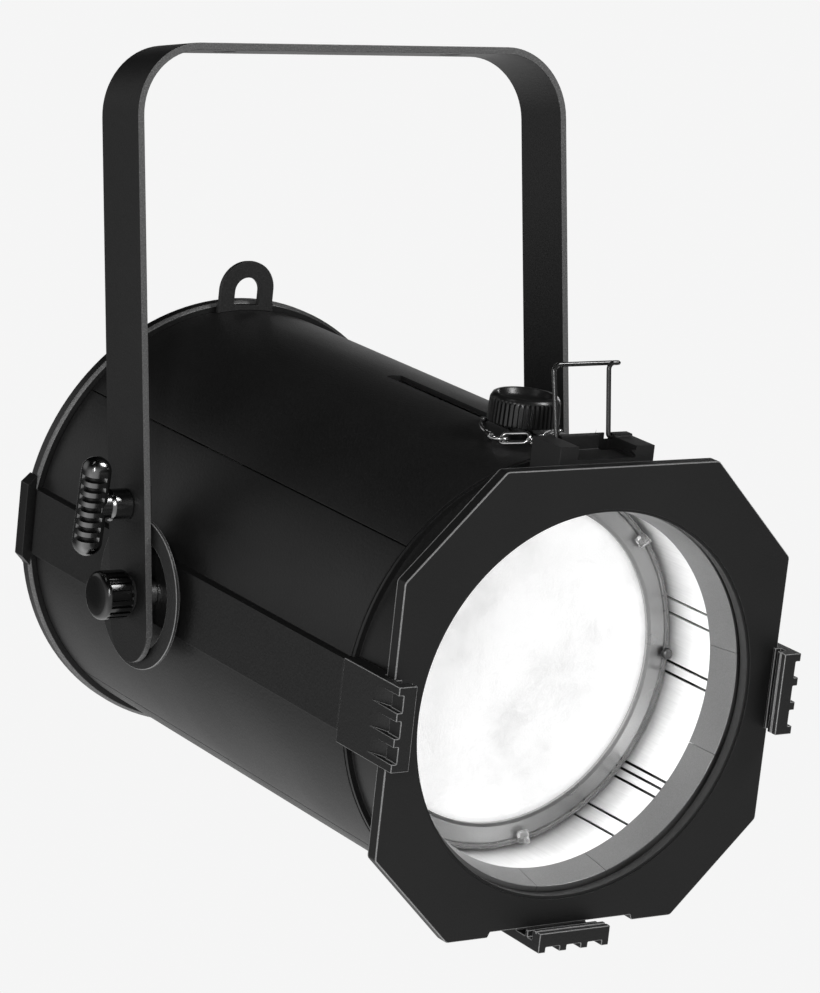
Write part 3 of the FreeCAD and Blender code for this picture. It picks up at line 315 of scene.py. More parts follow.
# Metal: grey level, roughness, how far that varies, marks per metre, their stretch, their height.
METALS = {
    "dark_chrome": (0.17, 0.20, 0.04, 5000.0, EVEN, 0.000002),
    "bright_steel": (0.72, 0.22, 0.06, 2500.0, DRAWN, 0.00001),
    "zinc_screws": (0.12, 0.34, 0.06, 1800.0, EVEN, 0.00002),
    "grey_aluminium": (0.30, 0.42, 0.06, 1500.0, EVEN, 0.00002),
    "supply_case": (0.55, 0.38, 0.08, 1200.0, DRAWN, 0.00002),
}
MATERIALS = {name: painted(name, *look) for name, look in PAINTS.items()}
MATERIALS.update((name, metal(name, *look)) for name, look in METALS.items())
MATERIALS.update({
    "bare_aluminium": rings_metal("bare_aluminium", 0.46, 0.30, 900.0),
    "polished_aluminium": reflector("polished_aluminium"),
    "lens_glass": lit_glass("lens_glass"),
    "clear_plastic": clear_plastic("clear_plastic"),
    "emitter_yellow": phosphor("emitter_yellow"),
    "circuit_green": board_green("circuit_green"),
})


# ---- building tools -----------------------------------------------------------------------------

SHARP = math.radians(34.0)
EASED_FROM = math.radians(30.0)
EASE_STEPS = 2


def extent(node, place=HEAD):
    """A CAD node's lowest and highest corner in a body's own axes, in millimetres."""
    back = place.inverted()
    spots = [back @ vertex.co for vertex in NODES[node].data.vertices]
    low = Vector([min(spot[i] for spot in spots) for i in range(3)]) / MM
    high = Vector([max(spot[i] for spot in spots) for i in range(3)]) / MM
    return low, high


def finish_piece(name, mesh, slot, body="head", place=HEAD, nodes=(), material=None,
                 second="edge_highlight_paint"):
    """Make a piece of a mesh drawn in millimetres in a body's own axes, and hang it on the body.

    Faces with material index 1 take the second material.
    """
    bmesh.ops.remove_doubles(mesh, verts=mesh.verts, dist=1e-4)
    bmesh.ops.recalc_face_normals(mesh, faces=mesh.faces)
    mesh.transform(Matrix.Scale(MM, 4))
    for face in mesh.faces:
        face.smooth = True
    for edge in mesh.edges:
        edge.smooth = len(edge.link_faces) == 2 and edge.calc_face_angle(0.0) < SHARP
    data = bpy.data.meshes.new(name)
    mesh.to_mesh(data)
    mesh.free()
    data.materials.append(MATERIALS[material or slot])
    if any(face.material_index for face in data.polygons):
        data.materials.append(MATERIALS[second])
    piece = bpy.data.objects.new(name, data)
    bpy.context.scene.collection.objects.link(piece)
    piece.matrix_world = place
    weighted = piece.modifiers.new("weighted", "WEIGHTED_NORMAL")
    weighted.keep_sharp = True
    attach(piece, body)
    if nodes:
        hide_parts(*nodes)
    return piece


def is_lit_face(node, face):
    """Whether a face takes the lighter lit-face paint, a painted highlight: on the yoke its front and back edge
    faces and its lower faces that do not face sideways, elsewhere faces turned partly forward.
    """
    way, spot = face.normal, face.calc_center_median()
    if node == "yoke":
        return abs(way.y) > 0.9 or (spot.z < 0.0 and abs(way.x) < 0.1)
    return -0.9 < way.y < -0.5


def eased(node, width, material=None, highlit=False):
    """A CAD node's own shape, its sharp edges rounded over by width; if highlit, those rounded edges take a
    lighter paint, a painted highlight.
    """
    place = YOKE if BODY_OF[node] == "yoke" else HEAD
    mesh = bmesh.new()
    mesh.from_mesh(NODES[node].data)
    mesh.transform(Matrix.Scale(1 / MM, 4) @ place.inverted())
    bmesh.ops.remove_doubles(mesh, verts=mesh.verts, dist=1e-3)
    bmesh.ops.dissolve_limit(mesh, angle_limit=math.radians(0.5), verts=mesh.verts,
                             edges=mesh.edges)
    corners = [edge for edge in mesh.edges
               if len(edge.link_faces) == 2 and edge.calc_face_angle(0.0) > EASED_FROM]
    made = bmesh.ops.bevel(mesh, geom=corners, offset=width, offset_type="OFFSET",
                           segments=EASE_STEPS, profile=0.5, affect="EDGES", clamp_overlap=False,
                           miter_outer="ARC", material=-1)
    # when highlit, the new rounded faces take the lighter second paint: painted highlight on the edges
    for face in made["faces"]:
        face.material_index = 1 if highlit else 0
    # the yoke's and rear cap's faces that face the light take the lighter second paint: painted highlight
    if node in ("yoke", "rear_cap"):
        mesh.normal_update()
        for face in mesh.faces:
            face.material_index = 1 if is_lit_face(node, face) else 0
    return finish_piece("eased_" + node, mesh, SLOT_OF[node], BODY_OF[node], place, [node],
                        material, "edge_highlight_paint" if highlit else "lit_face_paint")


def about_x(radius, along, angle):
    return Vector((along, radius * math.cos(angle), radius * math.sin(angle)))


def about_y(radius, along, angle):
    return Vector((radius * math.cos(angle), along, radius * math.sin(angle)))


def about_z(radius, along, angle):
    return Vector((radius * math.cos(angle), radius * math.sin(angle), along))


def loft(mesh, rows, capped=False, highlit=()):
    """Join rows of points, each a closed ring, into a skin; highlit names the bands given material index 1, which
    takes a piece's second material (by default the painted edge highlight).
    """
    made = [[mesh.verts.new(point) for point in row] for row in rows]
    count = len(rows[0])
    for band, (one, two) in enumerate(zip(made, made[1:])):
        for i in range(count):
            after = (i + 1) % count
            face = mesh.faces.new((one[i], one[after], two[after], two[i]))
            face.material_index = 1 if band in highlit else 0
    if capped:
        mesh.faces.new(made[0][::-1])
        mesh.faces.new(made[-1])


def rounded(outline, radius, steps=4):
    """A closed outline in two dimensions with each corner rounded to a radius."""
    spots = [Vector(spot) for spot in outline]
    radii = radius if isinstance(radius, (list, tuple)) else [radius] * len(spots)
    result = []
    for number, corner in enumerate(spots):
        before = spots[number - 1] - corner
        after = spots[(number + 1) % len(spots)] - corner
        turn = before.angle(after) / 2.0
        reach = min(radii[number] / math.tan(turn), 0.49 * min(before.length, after.length))
        first = corner + before.normalized() * reach
        last = corner + after.normalized() * reach
        for step in range(steps + 1):
            t = step / steps
            result.append(first * (1 - t) ** 2 + corner * 2 * t * (1 - t) + last * t ** 2)
    return result


def turned(mesh, outline, about=about_y, count=128, start=0.0, sweep=360.0):
    """Turn a closed outline of (radius, along) about an axis, all the way round or over a sweep."""
    whole = abs(sweep - 360.0) < 0.01
    angles = [math.radians(start + sweep * i / count) for i in range(count if whole else count + 1)]
    rows = [[about(max(radius, 0.0), along, angle) for radius, along in outline]
            for angle in angles]
    if whole:
        loft(mesh, rows + rows[:1])
    else:
        loft(mesh, rows, capped=True)


def spun(mesh, outline, about, centre, count):
    """Turn an open outline of (radius, along) all the way round an axis through centre."""
    loft(mesh, [[centre + about(radius, along, math.tau * i / count) for i in range(count)]
                for radius, along in outline])


def fluted(mesh, levels, teeth, about, centre, duty, wall):
    """A skin round an axis with teeth on it; each level is (radius, along, depth of the gaps).

    A tooth takes up duty of its pitch, and each of its walls takes up wall.
    """
    pitch = math.tau / teeth
    marks = []
    for tooth in range(teeth):
        base = tooth * pitch
        for spot, high in ((0.0, 1.0), (duty * 0.5, 1.0), (duty, 1.0), (duty + wall, 0.0),
                           (duty + (1 - duty) * 0.5 + wall * 0.25, 0.0), (1 - wall * 0.5, 0.0)):
            marks.append((base + spot * pitch, high))
    loft(mesh, [[centre + about(max(radius - deep * (1 - high), 0.0), along, angle)
                 for angle, high in marks] for radius, along, deep in levels])


def tube(mesh, path, radius, sides):
    """A round bar along a path of points."""
    rows = []
    side = None
    for number, point in enumerate(path):
        before = path[max(number - 1, 0)]
        after = path[min(number + 1, len(path) - 1)]
        along = (after - before).normalized()
        if side is None:
            side = along.orthogonal().normalized()
        side = (side - along * side.dot(along)).normalized()
        other = along.cross(side)
        rows.append([point + (side * math.cos(a) + other * math.sin(a)) * radius
                     for a in (math.tau * i / sides for i in range(sides))])
    loft(mesh, rows, capped=True)


def block(mesh, low, high, ease, place):
    """A box with eased edges."""
    low, high = Vector(low), Vector(high)
    grown = Matrix.Translation((low + high) / 2) @ Matrix.Diagonal((*(high - low), 1.0))
    made = bmesh.ops.create_cube(mesh, size=1.0, matrix=place @ grown)["verts"]
    edges = {edge for vertex in made for edge in vertex.link_edges}
    bmesh.ops.bevel(mesh, geom=list(edges), offset=ease, offset_type="OFFSET", segments=2,
                    profile=0.5, affect="EDGES")


def merge(mesh, part):
    """Add one drawn part to another."""
    held = bpy.data.meshes.new("held")
    part.to_mesh(held)
    part.free()
    mesh.from_mesh(held)
    bpy.data.meshes.remove(held)


def smooth_line(points, per_span):
    """Points read from a smooth NURBS spline that has the given control points."""
    data = bpy.data.curves.new("guide", "CURVE")
    data.dimensions = "3D"
    data.resolution_u = per_span
    spline = data.splines.new("NURBS")
    spline.points.add(len(points) - 1)
    for spot, point in zip(spline.points, points):
        spot.co = (*point, 1.0)
    spline.order_u = 3
    spline.use_endpoint_u = True
    holder = bpy.data.objects.new("guide", data)
    bpy.context.scene.collection.objects.link(holder)
    bpy.context.view_layer.update()
    line = bpy.data.meshes.new_from_object(holder)
    result = [vertex.co.copy() for vertex in line.vertices]
    bpy.data.meshes.remove(line)
    bpy.data.objects.remove(holder)
    bpy.data.curves.remove(data)
    return result


# ---- tilt lock, pivot knob and focus knob -------------------------------------------------------

GRIP_LEAN = math.radians(17.0)
GRIP_HEIGHT = 49.0
GRIP_RADIUS = 8.0
GRIP_STRAIGHT = 20.5
GRIP_SQUARENESS = 2.6
GROOVES = [(number - 3) * 5.7 for number in range(7)]
GROOVE_DEPTH = 2.9
GROOVE_HALF = 1.05
# The grooves' middle, in degrees round the grip from its outer face, and half their reach.
GROOVE_MIDDLE = -52.0
GROOVE_REACH = 60.0


def grip_heights():
    """Heights of the grip's rows: close together over its round ends and its grooves."""
    heights = {0.0}
    for step in range(13):
        heights.add(GRIP_STRAIGHT + GRIP_RADIUS * math.sin(math.radians(step * 7.5)))
    for groove in GROOVES:
        for offset in (0.0, 0.6, 1.05, 1.25, 1.5, 1.9):
            heights.update((groove + offset, groove - offset))
    return sorted({round(h, 3) for h in heights} | {round(-h, 3) for h in heights})


def grip_row(height, turn):
    """One ring of the grip: a squared round, pressed in where it crosses a groove."""
    end = max(abs(height) - GRIP_STRAIGHT, 0.0)
    size = math.sqrt(max(1 - (end / GRIP_RADIUS) ** 2, 0.0))
    near = min(abs(height - groove) for groove in GROOVES)
    slope = min(max((near - GROOVE_HALF) / 0.4, 0.0), 1.0)
    dip = GROOVE_DEPTH * (1 - slope) if end == 0 else 0.0
    row = []
    for angle in (math.radians(4.0 * i) for i in range(90)):
        outward = -math.cos(angle)
        side = math.sin(angle)
        squared = abs(outward) ** GRIP_SQUARENESS + abs(side) ** GRIP_SQUARENESS
        around = math.degrees(math.atan2(side, -outward))
        held = min(max((GROOVE_REACH - abs(around - GROOVE_MIDDLE)) / 8.0, 0.0), 1.0)
        reach = GRIP_RADIUS * size * squared ** (-1 / GRIP_SQUARENESS) * 0.97 - dip * held
        row.append(turn @ Vector((-reach * math.cos(angle), reach * side, height)))
    return row


def make_tilt_handle():
    """A moulded grip bar with seven finger grooves across its outer face, on a round stem."""
    low, high = extent("tilt_lock_handle", YOKE)
    middle = Vector((low.x + GRIP_RADIUS, (low.y + high.y) / 2, GRIP_HEIGHT))
    turn = Matrix.Translation(middle) @ Matrix.Rotation(GRIP_LEAN, 4, "X")
    mesh = bmesh.new()
    loft(mesh, [grip_row(height, turn) for height in grip_heights()])
    back = turn.inverted()
    # faces inside the finger grooves take the near-black second paint: painted shade
    for face in mesh.faces:
        spot = back @ face.calc_center_median()
        around = math.degrees(math.atan2(spot.y, -spot.x))
        across = min(abs(spot.z - groove) for groove in GROOVES)
        if across < GROOVE_HALF + 0.25 and abs(around - GROOVE_MIDDLE) < GROOVE_REACH - 2.0:
            face.material_index = 1
    end = high.x - middle.x
    stem = bmesh.new()
    turned(stem, rounded([(0.0, 2.0), (7.6, 2.0), (7.8, 9.0), (8.9, 10.6), (9.0, end), (4.2, end),
                          (4.2, end - 8), (0.0, end - 8)],
                         [0, 0.4, 1.2, 1.4, 0.5, 0.2, 0.2, 0]), about_x, count=64)
    stem.transform(turn)
    merge(mesh, stem)
    finish_piece("tilt_lock_grip", mesh, "gloss_black_plastic", "tilt_lock", YOKE,
                 ["tilt_lock_handle"], "dark_chrome", "groove_shade_paint")


def make_pivot_knob():
    """A fluted clamping knob with a smooth, slightly domed cap."""
    low, high = extent("pivot_knob")
    centre = Vector((0.0, (low.y + high.y) / 2, (low.z + high.z) / 2))
    size = (high.y - low.y) / 2
    foot, top = high.x, low.x
    mesh = bmesh.new()
    teeth = [(size - 1.6, foot, 0.0), (size - 0.35, foot - 0.3, 0.8), (size - 0.1, foot - 0.9, 1.3),
             (size, top + 4.0, 1.3), (size, top + 3.7, 0.0), (size - 0.05, top + 3.2, 0.0)]
    fluted(mesh, teeth, 20, about_x, centre, duty=0.56, wall=0.07)
    cap = [(size - 0.05, top + 3.2), (size - 0.3, top + 2.3), (size - 0.9, top + 1.4),
           (size - 1.8, top + 0.7), (size - 3.0, top + 0.3), (size * 0.4, top + 0.1), (0.0, top)]
    spun(mesh, cap, about_x, centre, 120)
    bore = [(size - 1.6, foot), (5.1, foot), (5.1, foot - 13.0), (0.0, foot - 13.0)]
    spun(mesh, bore, about_x, centre, 120)
    finish_piece("pivot_grip", mesh, "gloss_black_plastic", "pivot_clamp", HEAD, ["pivot_knob"])


def make_focus_knob():
    """A ribbed knob, slightly tapered, with a rolled rim round a shallow dish."""
    low, high = extent("focus_knob")
    centre = Vector(((low.x + high.x) / 2, (low.y + high.y) / 2, 0.0))
    size = (high.x - low.x) / 2
    foot, top = high.z - 15.3, high.z
    mesh = bmesh.new()
    ribs = [(size - 1.6, foot + 0.2, 0.0), (size - 0.5, foot, 1.0), (size, foot + 0.9, 1.3),
            (size - 0.5, top - 4.4, 1.3), (size - 0.6, top - 3.4, 1.1),
            (size - 0.8, top - 2.6, 0.4), (size - 1.2, top - 1.9, 0.0)]
    fluted(mesh, ribs, 44, about_z, centre, duty=0.5, wall=0.14)
    rim = [(size - 1.2, top - 1.9), (size - 1.9, top - 0.7), (size - 3.0, top - 0.1),
           (size - 4.4, top), (size - 5.4, top - 0.7), (size - 6.4, top - 2.4),
           (size - 7.6, top - 3.6), (size - 9.4, top - 4.2), (size - 13.0, top - 4.4),
           (0.0, top - 4.4)]
    spun(mesh, rim, about_z, centre, 132)
    underside = [(size - 1.6, foot + 0.2), (6.0, foot + 0.6), (6.0, low.z), (4.2, low.z),
                 (4.2, low.z + 12.0), (0.0, low.z + 12.0)]
    spun(mesh, underside, about_z, centre, 132)
    finish_piece("focus_grip_knob", mesh, "gloss_black_plastic", "focus_grip", HEAD,
                 ["focus_knob"], "ribbed_black")


# ---- colour frame -------------------------------------------------------------------------------

TOP_CHAMFER = 55.2
LOW_CHAMFER = 50.0
NOTCH_FOOT, NOTCH_HEAD, NOTCH_DEEP = 47.0, 45.6, 3.0
APERTURE = 106.3
APERTURE_MIDDLE = Vector((0.0, -1.25))
OUTLINE_STEP = 5.0


def frame_outline():
    """The eight-sided sheet's outer edge, with its notch, as points around the aperture."""
    low, high = extent("colour_frame")
    half, top, bottom = high.x, high.z, low.z
    corners = [(half - TOP_CHAMFER, top), (half, top - TOP_CHAMFER), (half, bottom + LOW_CHAMFER),
               (half - LOW_CHAMFER, bottom), (NOTCH_FOOT, bottom),
               (NOTCH_HEAD, bottom + NOTCH_DEEP), (-NOTCH_HEAD, bottom + NOTCH_DEEP),
               (-NOTCH_FOOT, bottom), (LOW_CHAMFER - half, bottom), (-half, bottom + LOW_CHAMFER),
               (-half, top - TOP_CHAMFER), (TOP_CHAMFER - half, top)]
    spots = rounded(corners, [3.0] * 4 + [0.4] * 4 + [3.0] * 4)
    result = []
    for one, two in zip(spots, spots[1:] + spots[:1]):
        cuts = max(int((two - one).length / OUTLINE_STEP), 1)
        result += [one.lerp(two, i / cuts) for i in range(cuts)]
    return result


def make_colour_frame():
    """Two sheets folded together: eased outer edges, and a rolled lip inside the aperture."""
    low, high = extent("colour_frame")
    front, back = low.y, high.y
    outline = frame_outline()
    ways = [(spot - APERTURE_MIDDLE).normalized() for spot in outline]

    def outside(inset, along):
        return [Vector((p.x - w.x * inset, along, p.y - w.y * inset))
                for p, w in zip(outline, ways)]

    def inside(inset, along):
        radius = APERTURE - inset
        return [Vector((APERTURE_MIDDLE.x + w.x * radius, along, APERTURE_MIDDLE.y + w.y * radius))
                for w in ways]

    rows = [outside(0.0, front + 0.55), outside(0.17, front + 0.17), outside(0.55, front),
            inside(-0.5, front), inside(-0.15, front + 0.12), inside(0.0, front + 0.5),
            inside(0.0, front + 0.9), inside(1.1, front + 0.9), inside(1.45, front + 1.05),
            inside(1.6, front + 1.4), inside(1.6, back - 1.4), inside(1.45, back - 1.05),
            inside(1.1, back - 0.9), inside(0.0, back - 0.9), inside(0.0, back - 0.5),
            inside(-0.5, back), outside(0.55, back), outside(0.17, back - 0.17),
            outside(0.0, back - 0.55), outside(0.0, back - 1.0), outside(0.0, front + 0.75),
            outside(0.0, front + 0.55)]
    mesh = bmesh.new()
    # the bands along the sheet's outer edges and side wall take the lighter edge paint: painted highlight
    loft(mesh, rows, highlit=(0, 1, 16, 17, 18, 20))
    finish_piece("folded_colour_frame", mesh, "frame_black_paint", "accessory_frame", HEAD,
                 ["colour_frame"])


# ---- lens, reflector and bezel ------------------------------------------------------------------

def make_lens():
    """The frosted lens, its front slightly domed."""
    low, high = extent("lens")
    edge = high.x
    front, back = low.y - 2.0, high.y
    dome = [(edge * math.sin(math.radians(a)), front - 1.6 + 3.4 * math.sin(math.radians(a)) ** 2)
            for a in range(0, 75, 6)]
    mesh = bmesh.new()
    turned(mesh, dome + [(edge, front + 2.6), (edge, back), (0.0, back)])
    finish_piece("frosted_lens", mesh, "lens_glass", "carriage", HEAD, ["lens"])


RING_MIDDLE = 101.0
SCREW_ANGLES = (0.0, 120.0, 240.0)
CLIP_ANGLES = (41.0, 161.0, 281.0)


def on_ring(angle, along):
    """The place of a small part on the lens's ring, angle degrees round it."""
    turn = Matrix.Rotation(math.radians(-angle), 4, "Y")
    return turn @ Matrix.Translation((RING_MIDDLE, along, 0.0))


def make_lens_trim():
    """The lens's turned retaining ring with its clear rim, its screws and its clips."""
    front = extent("lens_carriage")[0].y
    ring = bmesh.new()
    turned(ring, rounded([(89.3, front - 0.2), (91.0, front - 0.9), (100.0, front - 0.3),
                          (100.5, front + 0.2), (89.3, front + 0.2)], 0.15, 3), count=160)
    finish_piece("lens_trim_ring", ring, "bare_aluminium", "carriage")
    rim = bmesh.new()
    turned(rim, rounded([(100.7, front - 0.6), (103.0, front - 1.4), (103.3, front - 0.8),
                         (103.3, front + 3.0), (100.7, front + 3.0)], 0.3, 3), count=160)
    finish_piece("lens_clear_rim", rim, "lens_glass", "carriage", material="clear_plastic")
    screws = bmesh.new()
    for angle in SCREW_ANGLES:
        head = bmesh.new()
        turned(head, rounded([(0.0, -2.6), (2.0, -2.6), (2.9, -1.8), (3.0, 0.4), (0.0, 0.4)],
                             [0, 0.5, 0.6, 0.1, 0]), count=32)
        head.transform(on_ring(angle, front - 2.4))
        merge(screws, head)
    finish_piece("lens_ring_screws", screws, "zinc_screws", "carriage")
    clips = bmesh.new()
    for angle in CLIP_ANGLES:
        place = on_ring(angle, front - 2.0)
        block(clips, (-4.4, -2.0, -3.2), (2.4, 1.6, 3.2), 0.9, place)
        block(clips, (-1.6, -5.2, -1.5), (1.8, -1.8, 1.5), 0.8, place)
    finish_piece("lens_clips", clips, "lens_glass", "carriage", material="clear_plastic")


# Slots in the liner's right half, in degrees up from its right side; the left half mirrors them.
LINER_SLOTS = (17.0, 12.0, -3.0, -6.3, -36.0, -38.4, -41.4, -53.0, -58.4)
LINER_SLOT_HALF = 0.42
FOCUS_SLOT = (87.6, 92.4)
LINER_SHEET = 1.1


def make_liner():
    """The polished inner sheet, with narrow slots along it and a wide one for the focus stud."""
    low, high = extent("mirror_liner")
    radius = high.x - 1.2
    middles = LINER_SLOTS + tuple(180.0 - angle for angle in LINER_SLOTS)
    slots = sorted([(middle - LINER_SLOT_HALF, middle + LINER_SLOT_HALF) for middle in middles]
                   + [FOCUS_SLOT])
    strips = []
    for (_, start), (stop, _) in zip(slots, slots[1:] + [(slots[0][0] + 360.0, 0.0)]):
        cuts = max(int((stop - start) / 2.5), 1)
        strips += [(start + (stop - start) * i / cuts, False) for i in range(cuts)]
        strips.append((stop, True))
    # the narrow slots take up the two middle lengths, and the focus slot only the second of them
    lengths = [low.y, low.y + 4.0, low.y + 45.0, -26.0, high.y]
    mesh = bmesh.new()
    grid = [[mesh.verts.new(about_y(radius, along, math.radians(angle))) for along in lengths]
            for angle, _ in strips]
    for number, (angle, gap) in enumerate(strips):
        one, two = grid[number], grid[(number + 1) % len(strips)]
        open_lengths = ()
        if gap:
            open_lengths = (2,) if abs(angle % 360.0 - FOCUS_SLOT[0]) < 0.01 else (1, 2)
        for part in range(len(lengths) - 1):
            if part not in open_lengths:
                mesh.faces.new((one[part], two[part], two[part + 1], one[part + 1]))
    piece = finish_piece("polished_liner", mesh, "polished_aluminium", "head", HEAD,
                         ["mirror_liner"])
    piece.modifiers.remove(piece.modifiers["weighted"])
    thick = piece.modifiers.new("thickness", "SOLIDIFY")
    thick.thickness = LINER_SHEET * MM
    thick.offset = 1.0
    thick.use_even_offset = True


BEZEL_SEAMS = (-97.0, -72.0, -22.0, 10.0, 84.0, 150.0)
BEZEL_GAP = 0.14


def make_bezel():
    """The grey inner ring in front of the reflector, in butted segments."""
    low, high = extent("front_bezel")
    front, back = low.y, high.y
    outline = rounded([(103.0, front), (107.1, front), (107.1, back), (99.4, back)],
                      [0.5, 0.3, 0.2, 0.4])
    mesh = bmesh.new()
    for start, stop in zip(BEZEL_SEAMS, BEZEL_SEAMS[1:] + (BEZEL_SEAMS[0] + 360.0,)):
        turned(mesh, outline, count=max(int((stop - start) / 2.5), 2),
               start=start + BEZEL_GAP / 2, sweep=stop - start - BEZEL_GAP)
    finish_piece("bezel_segments", mesh, "grey_aluminium", "head", HEAD, ["front_bezel"])


# ---- lanyard ------------------------------------------------------------------------------------

COVER_RADIUS = 124.7


def above_barrel(x, y, lift):
    """A point above the round cover, lift millimetres clear of it."""
    return Vector((x, y, math.sqrt((COVER_RADIUS + lift) ** 2 - x * x)))


CABLE_ROUTE = (above_barrel(-11.2, -130.0, 1.3), above_barrel(-13.2, -132.4, 1.4),
               above_barrel(-16.2, -137.0, 1.4), above_barrel(-19.2, -144.4, 1.5),
               above_barrel(-22.4, -153.2, 2.2))
STRANDS = 6
STRAND_LAY = 6.0
STRAND_OUT = 0.58
STRAND_RADIUS = 0.33
CORE_RADIUS = 0.45
# The crimp's rows: distance along it, half width, half height.
CRIMP_ROWS = ((-0.4, 0.9, 0.9), (0.0, 1.5, 1.4), (0.5, 1.9, 1.75), (2.2, 2.0, 1.55),
              (2.6, 1.85, 1.75), (4.6, 1.85, 1.75), (5.0, 2.0, 1.55), (6.8, 1.9, 1.75),
              (7.3, 1.5, 1.4), (7.4, 0.8, 0.8))


def sideways(way):
    """Two directions square to a way along the cable."""
    side = way.cross(Vector((0.0, 0.0, 1.0))).normalized()
    return side, way.cross(side)


def make_lanyard():
    """A twisted steel cable, with a crimp pressed on its end."""
    line = smooth_line(CABLE_ROUTE, 14)
    ahead = line[1:] + [line[-1] * 2 - line[-2]]
    ways = [(after - before).normalized() for before, after in zip(line, ahead)]
    travelled = [0.0]
    for before, after in zip(line, line[1:]):
        travelled.append(travelled[-1] + (after - before).length)
    mesh = bmesh.new()
    tube(mesh, line, CORE_RADIUS, 8)
    for strand in range(STRANDS):
        path = []
        for point, way, gone in zip(line, ways, travelled):
            side, other = sideways(way)
            angle = math.tau * (strand / STRANDS + gone / STRAND_LAY)
            path.append(point + (side * math.cos(angle) + other * math.sin(angle)) * STRAND_OUT)
        tube(mesh, path, STRAND_RADIUS, 6)
    finish_piece("steel_cable", mesh, "bright_steel", "head", HEAD, ["lanyard_cable"])
    make_crimp(line[-1], ways[-1])


def make_crimp(start, way):
    """The pressed sleeve on the cable's end, flattened in its middle."""
    side, other = sideways(way)
    rows = [[start + way * gone + side * wide * math.cos(a) + other * tall * math.sin(a)
             for a in (math.tau * i / 24 for i in range(24))] for gone, wide, tall in CRIMP_ROWS]
    mesh = bmesh.new()
    loft(mesh, rows, capped=True)
    finish_piece("cable_crimp", mesh, "bright_steel", "head", HEAD, ["lanyard_sleeve"])


make_tilt_handle()
make_pivot_knob()
make_focus_knob()
make_colour_frame()
make_lens()
make_lens_trim()
make_liner()
make_bezel()
make_lanyard()


# ---- the other CAD nodes ------------------------------------------------------------------------

DETAILED = ("tilt_lock_handle", "pivot_knob", "focus_knob", "colour_frame", "lens",
            "mirror_liner", "front_bezel", "lanyard_cable", "lanyard_sleeve")
AS_DRAWN = ("wire_latch", "heat_sink", "driver_board", "lanyard_chain", "lanyard_ring",
            "lanyard_clasp", "guide_rods", "focus_stud", "tilt_lock_bolt", "rear_panel")
HOLDERS = ("frame_holder_left", "frame_holder_right", "frame_holder_bottom")
# these pieces get the lighter paint on their rounded edges: painted highlight
EDGE_HIGHLIT = HOLDERS + ("friction_rings",)
LOOK = {"top_tray": "ring_black_paint", "yoke": "dull_black_paint",
        **dict.fromkeys(HOLDERS, "dull_black_paint")}
EASE = 0.4
CASTING_EASE = 0.7
for node in NODES:
    if node not in DETAILED + AS_DRAWN:
        width = CASTING_EASE if node.startswith("side_casting") else EASE
        eased(node, width, LOOK.get(node), node in EDGE_HIGHLIT)
for node, thing in NODES.items():
    thing.data.materials.clear()
    thing.data.materials.append(MATERIALS[SLOT_OF[node]])


# ---- floor and light ----------------------------------------------------------------------------

PALE = (0.915, 0.915, 0.915, 1.0)
FLOOR_HALF = 60.0
FLOOR_BELOW = 0.16
UP = (0.0, 0.0, 1.0)
# Softboxes, all aimed at the pivot: place and size in metres, power in watts.
SOFTBOXES = {
    "front_right": ((1.0, -1.3, 1.05), (0.5, 0.8), 22.0),
    "left_strip": ((-2.6, -1.7, 0.1), (0.3, 1.2), 3.0),
    "front_left": ((-1.75, -2.15, 0.4), (0.2, 1.1), 24.0),
    "over_left": ((-0.9, -0.2, 1.6), (0.25, 0.8), 1.2),
    "rim_right": ((2.4, 1.7, 0.5), (0.4, 1.0), 5.0),
}


def make_floor():
    """A wide, plain, evenly lit pale floor below the light."""
    mesh = bmesh.new()
    bmesh.ops.create_grid(mesh, x_segments=1, y_segments=1, size=FLOOR_HALF)
    data = bpy.data.meshes.new("floor")
    mesh.to_mesh(data)
    mesh.free()
    floor = bpy.data.objects.new("floor", data)
    bpy.context.scene.collection.objects.link(floor)
    floor.location.z = CAD_BOX[0][2] - FLOOR_BELOW
    material, _, shader, _ = new_material("floor_white")
    shader.inputs["Base Color"].default_value = (0.0, 0.0, 0.0, 1.0)
    shader.inputs["Specular IOR Level"].default_value = 0.0
    shader.inputs["Roughness"].default_value = 1.0
    shader.inputs["Emission Color"].default_value = PALE
    shader.inputs["Emission Strength"].default_value = 1.0
    data.materials.append(material)
    floor.visible_diffuse = False
    floor.visible_glossy = False
    floor.visible_transmission = False


def facing(tree, direction, aim, low, high, start, end):
    """A level from low to high, as a direction points from start to end of the way along aim."""
    dot = node_of(tree, "ShaderNodeVectorMath", operation="DOT_PRODUCT")
    tree.links.new(direction, dot.inputs[0])
    dot.inputs[1].default_value = aim
    return span(tree, dot.outputs["Value"], low, high, start, end)


def reckon(tree, operation, one, two):
    node = node_of(tree, "ShaderNodeMath", operation=operation)
    tree.links.new(one, node.inputs[0])
    tree.links.new(two, node.inputs[1])
    return node.outputs[0]


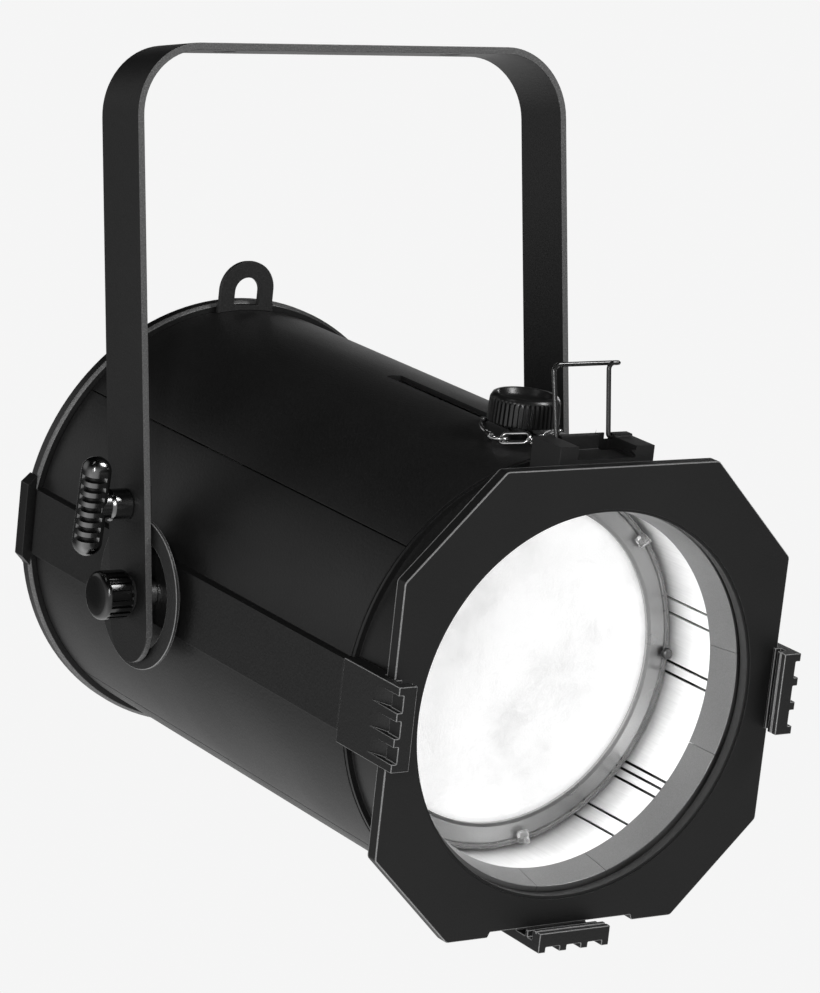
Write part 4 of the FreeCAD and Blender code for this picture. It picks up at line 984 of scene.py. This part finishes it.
def make_surroundings():
    """The studio: bright below, on the left and in two patches behind, and dark overhead.

    The camera sees a plain pale backdrop instead.
    """
    world = bpy.data.worlds.new("studio")
    bpy.context.scene.world = world
    world.use_nodes = True
    tree = world.node_tree
    direction = node_of(tree, "ShaderNodeTexCoord").outputs["Generated"]
    left = facing(tree, direction, (-0.8, -0.6, 0.0), 0.0, 0.80, -0.1, 0.8)
    not_high = facing(tree, direction, UP, 1.0, 0.0, 0.1, 0.6)
    below = facing(tree, direction, UP, 1.35, 0.0, -0.9, -0.12)
    not_front = facing(tree, direction, (0.0, -1.0, 0.0), 1.0, 0.25, 0.0, 0.6)
    dim = facing(tree, direction, UP, 0.055, 0.006, 0.05, 0.25)
    beside = facing(tree, direction, (-0.50, 0.78, 0.38), 0.0, 0.55, 0.93, 0.99)
    behind = facing(tree, direction, (0.54, 0.84, 0.0), 0.0, 0.8, 0.91, 0.985)
    level = reckon(tree, "MULTIPLY", left, not_high)
    for more in (reckon(tree, "MULTIPLY", below, not_front), dim, beside, behind):
        level = reckon(tree, "ADD", level, more)
    studio = tree.nodes["Background"]
    studio.inputs["Color"].default_value = (1.0, 1.0, 1.0, 1.0)
    tree.links.new(level, studio.inputs["Strength"])
    pale = node_of(tree, "ShaderNodeBackground")
    pale.inputs["Color"].default_value = PALE
    mix = node_of(tree, "ShaderNodeMixShader")
    seen = node_of(tree, "ShaderNodeLightPath")
    tree.links.new(seen.outputs["Is Camera Ray"], mix.inputs[0])
    tree.links.new(studio.outputs[0], mix.inputs[1])
    tree.links.new(pale.outputs[0], mix.inputs[2])
    tree.links.new(mix.outputs[0], tree.nodes["World Output"].inputs["Surface"])


def area_lamp(name, spot, size, power, aim):
    lamp = bpy.data.objects.new(name, bpy.data.lights.new(name, "AREA"))
    lamp.data.shape = "RECTANGLE"
    lamp.data.size, lamp.data.size_y = size
    lamp.data.energy = power
    lamp.location = spot
    lamp.rotation_mode = "QUATERNION"
    lamp.rotation_quaternion = aim.to_track_quat("-Z", "Y")
    lamp.visible_camera = False
    bpy.context.scene.collection.objects.link(lamp)
    return lamp


def make_light():
    """The studio's softboxes, and the lamp's own light just in front of the frosted lens."""
    for name, (spot, size, power) in SOFTBOXES.items():
        area_lamp(name, spot, size, power, PIVOT - Vector(spot))
    front = extent("lens")[0].y
    spot = HEAD @ (Vector((0.0, front - 5.0, 0.0)) * MM)
    glow = area_lamp("lamp_glow", spot, (0.16, 0.16), 0.3, -BACKWARD)
    glow.data.shape = "DISK"
    glow.visible_glossy = False
    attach(glow, "carriage")


make_floor()
make_surroundings()
make_light()
bpy.context.scene.view_settings.view_transform = "Standard"
